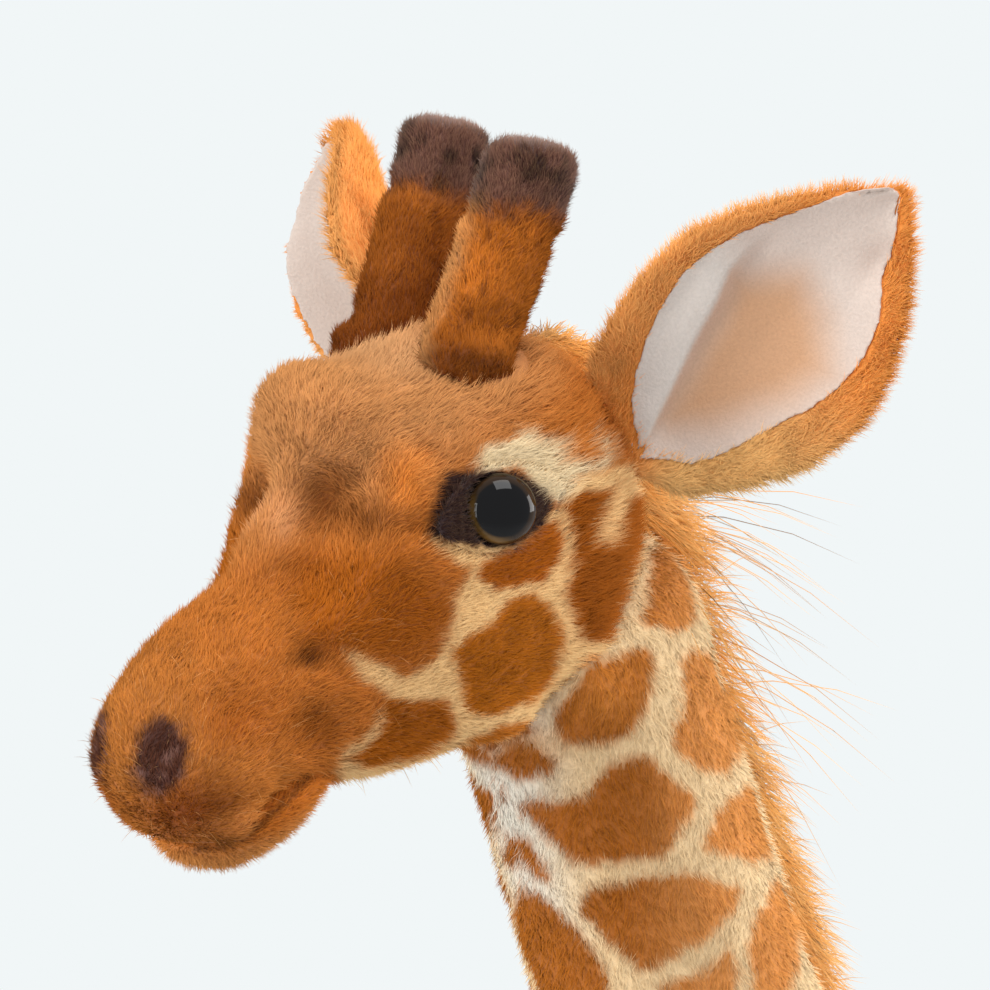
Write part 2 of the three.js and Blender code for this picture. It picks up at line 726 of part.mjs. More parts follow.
const legChannels = { front: wireChannel('front_leg_wire'), rear: wireChannel('rear_leg_wire') };
const spineChannel = wireChannel('spine_wire');

// Tail, sewn to the rump, and the tuft of long hair that closes over its end
const tailRoot = landingPoint(
  bodyForm(0), place(0, -bodyBack, tailRootUp), place(0, 1, 0), bodyBack);
const tailEnd = tailRoot.clone().add(place(0, -tailDropBehind, -tailLength));
const tailPath = pathThrough(
  tailRoot.clone().add(place(0, tailRadius, tailRadius)),
  tailRoot.clone().add(place(0, -tailDropBehind * 3 / 4, 0)),
  tailRoot.clone().lerp(tailEnd, 0.3).add(place(0, -tailDropBehind, 0)),
  tailEnd);
const tailShape = { sides: 12, steps: 14, firstEndShare: 0.06, lastEndShare: 0.04 };

// The tail swings both ways from its root without touching the rump
function tailForm() {
  const tube = stuffedForm(tailPath, (share) => {
    const radius = tailRadius * (1 - share / 5);
    return [radius, radius, radius];
  }, tailShape);
  return cutClearOf(bodyForm(2 * seamGap), tube, tailRoot, place(0, 1, 0), tailSwing);
}

const tuftPath = pathThrough(
  tailEnd.clone().add(place(0, 0, -seamGap)),
  tailEnd.clone().add(place(0, 0, -tuftLength / 2)),
  tailEnd.clone().add(place(0, 0, -tuftLength)));
const tuftFullnessShares = [
  [0.0, 0.50],
  [0.2, 0.72],
  [0.5, 1.00],
  [0.8, 0.80],
  [1.0, 0.42],
];
const tuftShape = { sides: 14, steps: 12, firstEndShare: 0.05, lastEndShare: 0.3 };
const tuftForm = () => stuffedForm(tuftPath, (share) => {
  const radius = tuftRadius * readTable(tuftFullnessShares, share)[0];
  return [radius, radius, radius];
}, tuftShape);

// Finishes
const finishes = {
  coat: { color: 0x93582a, roughness: 1 },
  hoofCloth: { color: 0x4a332c, roughness: 0.9 },
  sole: { color: 0x3d2b26, roughness: 0.85 },
  mane: { color: 0xd08a4c, roughness: 1 },
  lining: { color: 0xd9c4b2, roughness: 0.95 },
  darkPlush: { color: 0x4b322c, roughness: 1 },
  eye: { color: 0x14100d, roughness: 0.05 },
  washer: { color: 0xe8e6df, roughness: 0.5 },
  wire: { color: 0x9fa3a6, roughness: 0.4, metalness: 1 },
};

const giraffe = new THREE.Group();

function addPiece(name, geometry, finish) {
  const mesh = new THREE.Mesh(geometry, new THREE.MeshStandardMaterial(finishes[finish]));
  mesh.name = name;
  giraffe.add(mesh);
}

addPiece('head', cut(headForm(0), eyeRoom(1), eyeRoom(-1), spineChannel), 'coat');
addPiece('lower_jaw', cut(jawForm(0), headForm(seamGap)), 'coat');
addPiece('neck', cut(neckForm(0), headForm(seamGap), bodyForm(seamGap), spineChannel), 'coat');
addPiece('body', cut(bodyForm(0), legChannels.front, legChannels.rear, spineChannel), 'coat');
addPiece('mane', cut(maneForm(), neckForm(seamGap), headForm(seamGap), bodyForm(seamGap)), 'mane');
addPiece('tail', tailForm(), 'coat');
addPiece('tail_tuft', tuftForm(), 'darkPlush');
for (const wire of Object.keys(wirePaths)) addPiece(wire, wireForm(wire), 'wire');

for (const [side, sign] of Object.entries(sideSigns)) {
  for (const pair of ['front', 'rear']) {
    const channel = legChannels[pair];
    addPiece(`${pair}_leg_${side}`, cut(legForm(pair, sign, 0), bodyForm(seamGap), channel), 'coat');
    addPiece(`hoof_${pair}_${side}`, cut(hoofForm(pair, sign, 0), channel), 'hoofCloth');
    addPiece(`hoof_sole_${pair}_${side}`, soleForm(pair, sign), 'sole');
  }
  addPiece(`ossicone_${side}`, cut(ossiconeForm(sign), headForm(seamGap)), 'coat');
  addPiece(`ossicone_cap_${side}`, ossiconeCapForm(sign), 'darkPlush');
  addPiece(`ear_${side}`, earForm(side), 'coat');
  addPiece(`ear_lining_${side}`, earLiningForm(side), 'lining');
  addPiece(`eye_${side}`, eyeForm(sign), 'eye');
  addPiece(`eye_washer_${side}`, washerForm(sign), 'washer');
  addPiece(`eye_patch_${side}`, patchForm(sign), 'darkPlush');
}

export default giraffe;
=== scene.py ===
import json
import math
import bpy
import numpy as np
from mathutils import Matrix, Vector
from mathutils.bvhtree import BVHTree

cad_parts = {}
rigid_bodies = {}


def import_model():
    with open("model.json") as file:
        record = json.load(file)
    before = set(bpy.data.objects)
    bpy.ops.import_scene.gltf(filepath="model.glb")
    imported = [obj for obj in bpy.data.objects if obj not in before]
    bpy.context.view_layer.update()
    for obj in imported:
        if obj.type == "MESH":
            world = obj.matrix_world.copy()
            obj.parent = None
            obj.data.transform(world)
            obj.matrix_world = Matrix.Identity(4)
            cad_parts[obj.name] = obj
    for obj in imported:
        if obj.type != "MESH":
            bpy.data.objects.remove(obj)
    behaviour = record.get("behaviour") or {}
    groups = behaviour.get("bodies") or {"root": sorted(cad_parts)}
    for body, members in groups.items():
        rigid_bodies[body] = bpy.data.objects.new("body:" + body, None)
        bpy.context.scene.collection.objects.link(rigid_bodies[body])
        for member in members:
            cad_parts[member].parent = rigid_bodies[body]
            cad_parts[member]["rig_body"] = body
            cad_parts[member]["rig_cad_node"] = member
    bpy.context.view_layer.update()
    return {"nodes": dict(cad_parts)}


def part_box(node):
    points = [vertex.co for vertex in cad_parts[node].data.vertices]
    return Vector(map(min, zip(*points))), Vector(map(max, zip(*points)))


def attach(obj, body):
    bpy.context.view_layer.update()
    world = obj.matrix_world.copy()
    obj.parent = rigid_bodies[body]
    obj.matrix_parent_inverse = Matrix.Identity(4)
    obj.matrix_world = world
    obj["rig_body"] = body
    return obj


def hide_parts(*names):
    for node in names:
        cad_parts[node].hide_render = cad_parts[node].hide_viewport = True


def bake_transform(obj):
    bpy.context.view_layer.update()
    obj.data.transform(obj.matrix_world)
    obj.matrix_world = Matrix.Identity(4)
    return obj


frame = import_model()
bpy.ops.object.select_all(action="DESELECT")

# Camera
# It looks at the head from the toy's front left with a long lens, a little above the eyes.
AZIMUTH, TILT = math.radians(50), math.radians(8)
TO_CAMERA = np.array([
    math.sin(AZIMUTH) * math.cos(TILT), -math.cos(AZIMUTH) * math.cos(TILT), math.sin(TILT)])
CAMERA_RIGHT = np.array([math.cos(AZIMUTH), math.sin(AZIMUTH), 0.0])
CAMERA_UP = np.cross(TO_CAMERA, CAMERA_RIGHT)
CAMERA_PLACE = np.array([722.5, -699.0, 654.4])
bpy.ops.object.camera_add(location=CAMERA_PLACE / 1000)
camera = bpy.context.object
camera.name = "camera"
camera.rotation_euler = Vector(-TO_CAMERA).to_track_quat("-Z", "Y").to_euler()
SENSOR_WIDTH, FOCAL_PIXELS, PICTURE_PIXELS = 36, 4000, 990
camera.data.sensor_width = SENSOR_WIDTH
camera.data.lens = SENSOR_WIDTH * FOCAL_PIXELS / PICTURE_PIXELS
camera.data.clip_end = 60
bpy.context.scene.camera = camera
bpy.context.scene.view_settings.view_transform = "Standard"


# Room
# A round pale floor that fades out at its edge, a broad soft light overhead, weaker ones at the
# nose and from behind, and an even sky that also shows as the pale background.
def colour(red, green, blue):
    """A colour written as sRGB from 0 to 255, as linear numbers."""
    c = np.array([red, green, blue]) / 255
    return np.where(c > 0.04045, ((c + 0.055) / 1.055) ** 2.4, c / 12.92)


def solid(red, green, blue):
    return (*colour(red, green, blue), 1)


def new_material(name):
    made = bpy.data.materials.new(name)
    made.use_nodes = True
    return made, made.node_tree.nodes, made.node_tree.links


def set_values(node, values):
    for socket, value in values.items():
        node.inputs[socket].default_value = value


def new_node(nodes, kind, values=None, **settings):
    """A shader node with its settings and the values of its sockets."""
    node = nodes.new("ShaderNode" + kind)
    for word, setting in settings.items():
        setattr(node, word, setting)
    set_values(node, values or {})
    return node


def join(links, *rows):
    """Links nodes. Each row has a node and its output, then a node and its input."""
    for giver, outlet, taker, inlet in rows:
        links.new(giver.outputs[outlet], taker.inputs[inlet])


def speckled(name, scale, first, second, finish):
    """A material whose colour wanders between two that are nearly alike."""
    made, nodes, links = new_material(name)
    grit = new_node(nodes, "TexNoise", {"Scale": scale})
    mixed = new_node(nodes, "MixRGB", {"Color1": solid(*first), "Color2": solid(*second)})
    surface = nodes["Principled BSDF"]
    join(links, (grit, "Fac", mixed, "Fac"), (mixed, "Color", surface, "Base Color"))
    set_values(surface, finish)
    return made


FLOOR_RADIUS, FADE_START, FADE_END = 1.35, 0.55, 1.3
bpy.ops.mesh.primitive_circle_add(vertices=128, radius=FLOOR_RADIUS, fill_type="NGON")
floor = bpy.context.object
floor.name = "floor"
floor_paint = speckled("pale_floor", 60, (208, 210, 212), (218, 220, 221), {"Roughness": 0.8})
nodes = floor_paint.node_tree.nodes
middle_of_floor = new_node(nodes, "TexCoord")
off_middle = new_node(nodes, "VectorMath", operation="LENGTH")
fade = new_node(nodes, "MapRange", {
    "From Min": FADE_START, "From Max": FADE_END, "To Min": 1, "To Max": 0},
    interpolation_type="SMOOTHSTEP")
join(floor_paint.node_tree.links, (middle_of_floor, "Object", off_middle, 0),
     (off_middle, "Value", fade, "Value"), (fade, "Result", nodes["Principled BSDF"], "Alpha"))
floor.data.materials.append(floor_paint)

world = bpy.context.scene.world or bpy.data.worlds.new("sky")
bpy.context.scene.world = world
world.use_nodes = True
nodes = world.node_tree.nodes
nodes.clear()
rays = new_node(nodes, "LightPath")
around = new_node(nodes, "Background", {"Color": solid(250, 251, 255), "Strength": 0.74})
seen_sky = new_node(nodes, "Background", {"Color": solid(241, 246, 247)})
either = new_node(nodes, "Math", operation="MAXIMUM")
sky_mix = new_node(nodes, "MixShader")
sky_out = new_node(nodes, "OutputWorld")
join(world.node_tree.links, (rays, "Is Camera Ray", either, 0),
     (rays, "Is Transmission Ray", either, 1), (either, 0, sky_mix, "Fac"),
     (around, 0, sky_mix, 1), (seen_sky, 0, sky_mix, 2), (sky_mix, 0, sky_out, "Surface"))


def soft_light(name, place, aim, width, height, power):
    bpy.ops.object.light_add(type="AREA", location=place)
    lamp = bpy.context.object
    lamp.name = name
    lamp.data.shape = "RECTANGLE"
    lamp.data.size, lamp.data.size_y = width, height
    lamp.data.energy = power
    lamp.rotation_euler = (Vector(aim) - Vector(place)).to_track_quat("-Z", "Y").to_euler()


soft_light("light_overhead", (0.5, -0.25, 1.75), (0, -0.05, 0.45), 0.8, 0.8, 11)
soft_light("light_nose", (-0.3, -1.5, 0.5), (0, -0.1, 0.42), 0.55, 0.8, 11)
soft_light("light_back", (0.85, 1.35, 0.75), (0, 0, 0.45), 0.9, 0.9, 16)

# Head
# A sewn head of long-pile plush, stuffed firm, with the face sculpted by stitches through it.
# The pile is short and combed back from the nose. Brown patches lie on cream behind the cheek.
HEAD_PITCH = math.radians(27)
EYE_LEVEL = np.array([0.0, -123.0, 521.0])
FORWARD = np.array([0.0, -math.cos(HEAD_PITCH), -math.sin(HEAD_PITCH)])
HEAD_UP = np.array([0.0, -math.sin(HEAD_PITCH), math.cos(HEAD_PITCH)])

# Outlines of the coat's patches and of painted shade, in millimetres right and up as seen square
# from the camera, where the middle of its view is zero and the scale is that of the nearer eye.
PATCHES = {
    "cheek": [
        (8.3, -22.3), (12.4, -24.1), (14.6, -28.1), (16.2, -33.5), (14.6, -38.9), (12.4, -43.4),
        (8.3, -47), (3.4, -48.8), (-3.4, -49.5), (-7.7, -46.1), (-7.7, -41.6), (-8.6, -37.1),
        (-8.6, -34), (-5.6, -31.3), (-2, -29.9), (1.1, -25.9), (4.7, -23.6),
    ],
    "below_eye": [
        (-3.4, -16.4), (-3.8, -18.2), (-2, -20.2), (1.1, -20.5), (6.2, -21), (11.5, -19.6),
        (15.2, -15.6), (16.6, -11), (15.3, -7.9), (14.2, -6.3), (11.9, -5.6), (8.3, -9.7),
        (4.7, -11.9), (1.1, -13.3), (-2, -15.1),
    ],
    "behind_eye": [
        (16, -1.1), (23.6, 1.6), (27.2, 2.5), (25.9, -3.4), (24.3, -7.9), (24.5, -11.5),
        (26.8, -10.6), (29, -5.6), (30.8, -0.2), (34.9, 0.7), (37.1, -2.2), (36, -6.8),
        (34.4, -11.9), (33.1, -15.8), (32.6, -20.2), (31.7, -24.8), (29.9, -29.9), (27.7, -32.6),
        (24.5, -33.8), (21.8, -33.5), (19.1, -31.7), (18.2, -28.1), (16.4, -25), (16, -21.4),
        (16.9, -17.3), (18.2, -13.7), (18.7, -10.1), (17.3, -6.1), (15.1, -3.4),
    ],
    "across_seam": [
        (12.8, -50.2), (14.6, -47), (17.3, -42.5), (20, -38.5), (22.7, -36.7), (26.3, -36.2),
        (29.5, -35.8), (32.2, -34.4), (34.9, -34.9), (36, -38.2), (35.3, -43.9), (34.2, -49.5),
        (32.6, -52.9), (29.2, -55.6), (24.8, -56.9), (20.5, -57.1), (16.9, -56), (13.7, -53.3),
    ],
    "thin_jaw": [
        (-10.6, -61.4), (-8.3, -58.3), (-5.2, -55.6), (-1.6, -53.8), (2, -52.4), (6.5, -50.6),
        (8.6, -52), (7.9, -53.8), (4.3, -55.6), (0.2, -57.4), (-4.3, -59.6), (-7.9, -61.4),
    ],
    "throat": [
        (-2, -60.1), (1.1, -58.3), (6.5, -56), (10.1, -56.9), (12.8, -59.2), (14.2, -61),
        (13.3, -63.2), (8.3, -63.7), (3.4, -63.2), (-0.2, -61.9), (-2.9, -61),
    ],
    "jaw_spot": [
        (-25.4, -46.6), (-20.2, -46.4), (-14.6, -46.1), (-10.1, -46.6), (-8.6, -48.8),
        (-8.1, -52.9), (-10.1, -56.2), (-14.6, -59), (-20.2, -60.8), (-25.9, -61.6),
        (-30.4, -61.2), (-32.6, -59.6), (-30.4, -57.4), (-26.6, -54), (-24.8, -50.6),
    ],
    "cream_face": [
        (-15.3, -8.6), (-10.8, -10.1), (-3.4, -11.7), (2.7, -11.7), (7.9, -10.1), (11.9, -5.6),
        (16, -1.1), (21.8, 5.6), (36, 7.9), (46.1, 5.6), (43.9, -14.6), (32.6, -32.6),
        (23.6, -46.1), (18, -59.6), (14.6, -68.6), (-32.6, -68.6), (-35.3, -63), (-33.8, -58.5),
        (-27, -51.8), (-23.6, -46.1), (-29.9, -40.3), (-34.4, -34), (-31.1, -35.3), (-27, -37.6),
        (-20.9, -41), (-16.9, -39.4), (-13.5, -37.1), (-11.2, -33.1), (-9, -28.1), (-8.6, -22.9),
        (-5, -16.2), (-8.3, -15.3), (-11.7, -11.7),
    ],
    "brow": [
        (-4.3, 7.9), (-2.9, 10.6), (1.1, 11.5), (5.6, 13.3), (6.5, 16), (11.5, 11.9), (16.4, 12.8),
        (16.9, 9.2), (19.1, 7.9), (23.6, 7.4), (25, 10.1), (23.6, 14.6), (22.7, 16), (26.3, 11.9),
        (26.8, 8.3), (25, 7), (21.8, 5.6), (19.1, 4.7), (19.6, 1.1), (16.4, -0.2), (13.7, -1.1),
        (10.1, 1.1), (7.4, 4.3), (5.6, 6.1), (1.1, 6.1), (-2, 5.6),
    ],
    "brow_spot": [
        (16.9, 11.9), (19.1, 13.7), (22.7, 13.7), (25, 10.6), (23.6, 8.3), (20, 8.1), (17.1, 8.3),
    ],
    "neck_c": [
        (5.4, -69.8), (6.8, -68.6), (14.6, -68.6), (20.2, -67.5), (22.5, -64.1), (24.1, -61.2),
        (28.1, -60.1), (32.6, -59.6), (36, -60.8), (39.4, -63.5), (42.8, -66.4), (45, -69.8),
        (44.3, -72.5), (42.1, -75.8), (41, -79.9), (38.2, -81.5), (31.5, -82.4), (25.9, -83.5),
        (21.4, -84.2), (17.3, -82.6), (14, -79.9), (10.6, -77), (7.2, -73.6),
    ],
    "neck_d": [
        (20.2, -90), (23.6, -88.2), (30.4, -87.1), (37.1, -86), (41.6, -85.3), (46.1, -85.7),
        (51.1, -87.1), (55.6, -88.7), (55.1, -91.6), (52.9, -95), (49.5, -99), (44.3, -102.4),
        (39.8, -105.1), (35.3, -107.1), (31.9, -106.9), (28.6, -104), (24.8, -100.1),
        (21.4, -96.8), (19.1, -93.4),
    ],
    "neck_e": [
        (36.7, -11.5), (39.4, -11), (41.6, -14.6), (43.9, -19.1), (45.2, -23.6), (45.5, -28.1),
        (43.9, -29.9), (39.4, -30.2), (34.9, -29.7), (33.1, -28.1), (34, -23.6), (35.3, -18.2),
        (35.8, -14.6),
    ],
    "neck_f": [
        (43.2, -36.2), (46.1, -35.1), (48.4, -35.3), (50, -38.7), (51.8, -42.8), (54.5, -46.1),
        (55.6, -50.6), (56.2, -55.1), (56.2, -58.5), (54.5, -61.2), (51.8, -63.5), (48.8, -63.5),
        (45.5, -61.2), (41.6, -58.3), (40.5, -56.7), (41, -51.8), (41.9, -46.1), (41.9, -40.5),
    ],
    "neck_g": [
        (58.5, -65.2), (60.5, -66.4), (62.3, -70.2), (63.2, -74.2), (63.5, -78.8), (62.3, -82.1),
        (59, -83.2), (54.5, -82.1), (50, -81), (47.5, -80.1), (48.4, -76.5), (50.6, -72),
        (53.3, -68),
    ],
    "neck_h": [
        (63, -87.8), (66.4, -86.6), (69.8, -91.1), (70.2, -96.8), (69.1, -102.4), (68, -111.4),
        (65.2, -118.1), (60.1, -118.1), (57.6, -111.4), (57.6, -99.5), (59, -94.5), (61.2, -91.1),
    ],
    "neck_i": [
        (3.6, -88.2), (6.8, -88.9), (10.1, -91.1), (14.6, -94.5), (19.1, -98.3), (22.9, -102.4),
        (25.2, -106.2), (25.9, -113.6), (22.7, -120.4), (13.7, -121.7), (10.1, -113.6),
        (8.3, -108), (6.8, -102.4), (5.4, -96.8), (4.3, -91.1),
    ],
    "neck_j": [
        (-3.6, -65.5), (-0.7, -65.2), (2.2, -66.4), (3.4, -68.6), (2.7, -72), (1.4, -73.6),
        (-1.1, -71.3), (-3.1, -68.6),
    ],
    "neck_k": [
        (4.3, -77.6), (7.9, -77.9), (9.5, -80.3), (11.2, -83.2), (13.3, -85.5), (12.8, -87.8),
        (10.1, -87.1), (6.8, -84.4), (4.7, -81.5),
    ],
    "neck_l": [
        (54, -102.4), (54.5, -106.2), (54, -113.6), (50.6, -120.4), (39.4, -121.7), (33.5, -115.9),
        (37.1, -111.4), (41, -110.2), (46.1, -108), (50, -105.8),
    ],
    # Painted shade in the hollow near the mouth.
    "near_mouth": [
        (-47.2, -49.3), (-43.9, -47.5), (-38.2, -47.9), (-34.4, -51.1), (-34.4, -55.1),
        (-38.2, -57.4), (-43.9, -57.4), (-47.2, -54.2),
    ],
    # The crease between the lips, where painted shade lies.
    "mouth": [
        (-68, -78.6), (-60.8, -77.9), (-56.2, -75.7), (-52.2, -72.8), (-49.3, -70.1),
        (-46, -66.8), (-41.6, -62.6), (-41.2, -63.8), (-45.8, -68.6), (-49, -72), (-52, -74.9),
        (-56, -77.7), (-60.8, -80.1), (-68, -80.6),
    ],
    "eye_patch": [
        (-15.3, -8.3), (-14.2, -3.4), (-12.4, 1.6), (-10.1, 4.9), (-5.6, 5.6), (1.1, 5.8),
        (7.9, 3.4), (11.2, 1.1), (13.3, -1.8), (12.6, -5.6), (9, -9), (4.5, -12), (0, -12.4),
        (-5.6, -11.2), (-10.8, -10.1),
    ],
    # Painted shade on the lower cheek.
    "cheek_shade": [
        (-43.9, -14.6), (-32.6, -11.9), (-21.4, -13.7), (-12.4, -19.1), (-8.8, -25.9),
        (-12.4, -33.8), (-21.4, -38.9), (-32.6, -34.9), (-41.6, -32.6), (-45.7, -23.6),
    ],
}
CREAM = (255, 208, 144)
EYE_DISTANCE = 900


def noise(points, size, seed=0):
    """Smooth noise from -1 to 1 whose lumps are about the size given."""
    q = points / size + seed * 17.31 + 100
    cell = np.floor(q).astype(np.int64)
    f = q - cell
    f = f * f * (3 - 2 * f)
    total = np.zeros(len(points))
    for corner in range(8):
        step = np.array([corner & 1, corner >> 1 & 1, corner >> 2 & 1])
        c = cell + step
        mixed = c[:, 0] * 73856093 ^ c[:, 1] * 19349663 ^ c[:, 2] * 83492791
        mixed = (mixed ^ mixed >> 13) * 1274126177 & 0x7FFFFFFF
        mixed = (mixed ^ mixed >> 15) & 0xFFFF
        total += (mixed / 32767.5 - 1) * np.prod(np.where(step, f, 1 - f), axis=1)
    return total


def smooth(low, high, values):
    t = np.clip((values - low) / (high - low), 0, 1)
    return t * t * (3 - 2 * t)


def blended(below, above, share):
    return below * (1 - share[:, None]) + above * share[:, None]


def plain(points, red, green, blue):
    return np.tile(colour(red, green, blue), (len(points), 1))


def layered(shade, *layers):
    """A coat's colour with others laid over it in turn, each by its own share at each point."""
    for hue, share in layers:
        shade = blended(shade, colour(*hue), share)
    return shade


def noises(points, size, *seeds):
    return np.stack([noise(points, size, seed) for seed in seeds], axis=1)


def mottled(shade, points, *flecks):
    """A coat's colour made uneven. Each fleck has its strength, size and seed."""
    tone = 1.0
    for strength, size, seed in flecks:
        tone = tone + strength * noise(points, size, seed)
    return shade * tone[:, None]


def mirrored(points):
    """The toy's right side is read from its left."""
    return np.column_stack([np.abs(points[:, 0]), points[:, 1:]])


def seen(points):
    """Points as the camera sees them, in millimetres at the nearer eye."""
    v = mirrored(points) - CAMERA_PLACE
    away = -(v @ TO_CAMERA)
    return np.stack([v @ CAMERA_RIGHT, v @ CAMERA_UP], axis=1) / away[:, None] * EYE_DISTANCE


def depth_in(outline, spots):
    """How far each spot lies inside a closed outline. Outside it the number is negative."""
    corners = np.array(outline)
    far = np.full(len(spots), 1e9)
    inside = np.zeros(len(spots), bool)
    x, y = spots[:, 0], spots[:, 1]
    for (ax, ay), (bx, by) in zip(corners, np.roll(corners, -1, axis=0)):
        ex, ey = bx - ax, by - ay
        t = np.clip(((x - ax) * ex + (y - ay) * ey) / (ex * ex + ey * ey), 0, 1)
        far = np.minimum(far, np.hypot(x - ax - t * ex, y - ay - t * ey))
        crosses = (ay > y) != (by > y)
        inside ^= crosses & (x < ex * (y - ay) / (ey if ey else 1e-9) + ax)
    return np.where(inside, far, -far)


def within(name, at, outer, inner):
    """A patch's share at each spot: 0 at the outer depth, 1 at the inner one."""
    return smooth(outer, inner, depth_in(PATCHES[name], at))


def how_far(places, centre, radii):
    """How far places lie from a centre, where 1 is as far as the radii reach."""
    return np.linalg.norm((places - np.array(centre)) / np.array(radii), axis=1)


def spot(places, centre, radii):
    """1 at the centre, falling to 0 at the radii."""
    return 1 - smooth(0.0, 1.0, how_far(places, centre, radii))


def on_head(points):
    """How far points lie before the eyes and above them, along the tilted head."""
    return (points - EYE_LEVEL) @ FORWARD, (points - EYE_LEVEL) @ HEAD_UP


def mouth_crease_shade(points, at, outer, inner):
    """The painted shade in the crease between the lips, and its share."""
    return (70, 36, 16), within("mouth", at, outer, inner) * (0.6 + 0.3 * noise(points, 4, 10))


def head_coat(points, normals):
    """The colour of the pile on the head, with painted light and painted shade on the face."""
    ragged = noises(points, 5, 1, 2) * 0.9
    ragged += noises(points, 1.6, 3, 4) * 0.7
    at = seen(points) + ragged
    along, up = on_head(points)
    shade = layered(
        plain(points, 199, 116, 46),
        # Painted light: the top of the head is painted lighter, with a painted highlight on the
        # forehead.
        ((208, 142, 84), smooth(8, 28, up) * (1 - smooth(40, 75, along))),
        ((234, 176, 122), spot(at, (-20, 34), (22, 12)) * 0.7),
        ((192, 120, 54), smooth(55, 85, along) * 0.7),
        ((232, 136, 50), spot(at, (-20, 4), (10, 13)) * 0.8),
        # Painted shade in the groove beside the nose bridge and on the brow next to it.
        ((112, 56, 14), spot(at, (-29, -5), (10, 7)) * 0.75),
        ((160, 84, 24), spot(at, (-37, 3), (9, 8)) * 0.55),
        # Painted highlights along the ridge of the nose bridge.
        ((234, 166, 112), spot(at, (-48, -4), (7, 10)) * 0.6),
        ((226, 160, 104), spot(at, (-53, 7), (6, 9)) * 0.6))
    fleck = 0.10 * noise(points, 5, 5) + 0.10 * noise(points, 2, 6)
    fleck += smooth(40, 65, along) * 0.13 * noise(points, 3, 8)
    shade = layered(shade * (1 + fleck)[:, None], (CREAM, within("cream_face", at, -1.2, 1.2)))
    mottle = mottled(np.ones((len(points), 1)), points, (0.12, 3, 7), (0.06, 1.3, 9))
    for name, hue in (("cheek", (178, 100, 20)), ("below_eye", (168, 88, 14)),
                      ("behind_eye", (154, 80, 14)), ("across_seam", (212, 126, 48)),
                      ("thin_jaw", (188, 108, 32)), ("jaw_spot", (170, 92, 18))):
        depth = depth_in(PATCHES[name], at)
        brown = plain(points, *hue)
        rim = blended(brown, brown * 1.25, 1 - smooth(0.5, 3.5, depth))
        shade = blended(shade, rim * mottle, smooth(-1.0, 1.0, depth))
    shade = layered(
        shade,
        # Painted shade on the lower cheek and in the hollow near the mouth.
        ((174, 92, 16), within("cheek_shade", at, -4, 5) * 0.85),
        ((162, 88, 26), within("near_mouth", at, -2, 2) * 0.7),
        ((250, 224, 178), within("brow", at, -1, 1)),
        ((218, 132, 58), within("brow_spot", at, -1, 1)),
        # Painted shade on the side of the muzzle, in the cheek dimple and under the muzzle.
        ((176, 92, 24), spot(at, (-58, -50), (16, 14)) * 0.7),
        ((84, 40, 10), spot(at, (-42.5, -37), (7, 4.5)) * 0.75),
        ((136, 62, 6), spot(at, (-68, -71), (24, 13)) * 0.85),
        # A painted highlight along the edge of the upper lip.
        ((226, 142, 70), spot(at, (-55, -74), (14, 6)) * 0.8),
        mouth_crease_shade(points, at, -0.5, 0.6))
    nostril = spot(at + ragged * 0.8, (-75.5, -59.0), (11, 15.5))
    dark = layered(plain(points, 64, 34, 34),
                   ((150, 112, 104), smooth(0.1, 0.9, noise(points, 2, 12)) * 0.7))
    shade = blended(shade, dark, smooth(0.15, 0.6, nostril) * 0.92)
    dark = mottled(plain(points, 56, 34, 32), points, (0.25, 2.5, 73))
    return blended(shade, dark, within("eye_patch", at, -0.7, 0.6))


def relaxed(piece, passes):
    """Evens out a cloth, as stretching it does."""
    relax = piece.modifiers.new("relax", "SMOOTH")
    relax.factor, relax.iterations = 0.5, passes
    bpy.context.view_layer.objects.active = piece
    bpy.ops.object.modifier_apply(modifier="relax")


def skin(name, cad_nodes, voxel, passes):
    """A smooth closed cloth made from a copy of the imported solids."""
    bpy.ops.object.select_all(action="DESELECT")
    for node in cad_nodes:
        copy = frame["nodes"][node].copy()
        copy.data = frame["nodes"][node].data.copy()
        copy.parent = None
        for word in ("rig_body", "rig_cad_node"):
            if word in copy:
                del copy[word]
        bpy.context.collection.objects.link(copy)
        copy.select_set(True)
        bpy.context.view_layer.objects.active = copy
    if len(cad_nodes) > 1:
        bpy.ops.object.join()
    piece = bpy.context.object
    piece.name = piece.data.name = name
    bpy.ops.object.mode_set(mode="EDIT")
    bpy.ops.mesh.select_all(action="SELECT")
    bpy.ops.mesh.remove_doubles(threshold=1e-6)
    bpy.ops.object.mode_set(mode="OBJECT")
    even = piece.modifiers.new("even", "REMESH")
    even.mode, even.voxel_size = "VOXEL", voxel / 1000
    bpy.ops.object.modifier_apply(modifier="even")
    relaxed(piece, passes)
    bpy.ops.object.shade_smooth()
    for layer in list(piece.data.uv_layers):
        piece.data.uv_layers.remove(layer)
    piece.data.materials.clear()
    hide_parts(*cad_nodes)
    return piece


def three_each(rows, word, kind=float):
    numbers = np.zeros(len(rows) * 3, kind)
    rows.foreach_get(word, numbers)
    return numbers.reshape(-1, 3)


def shape_of(piece):
    """Points in millimetres, the directions that point out of them, and the triangles."""
    mesh = piece.data
    mesh.calc_loop_triangles()
    return (three_each(mesh.vertices, "co") * 1000, three_each(mesh.vertex_normals, "vector"),
            three_each(mesh.loop_triangles, "vertices", np.int64))


def move_points(piece, points):
    piece.data.vertices.foreach_set("co", (points / 1000).ravel())
    piece.data.update()


def stain(mesh, colours):
    """Keeps the coat's colour on a mesh's points."""
    layer = mesh.color_attributes.new("coat", "FLOAT_COLOR", "POINT")
    layer.data.foreach_set("color", np.column_stack([colours, np.ones(len(colours))]).ravel())


def mark(mesh, word, numbers):
    """Keeps a number on each of a mesh's points."""
    mesh.attributes.new(word, "FLOAT", "POINT").data.foreach_set("value", numbers)


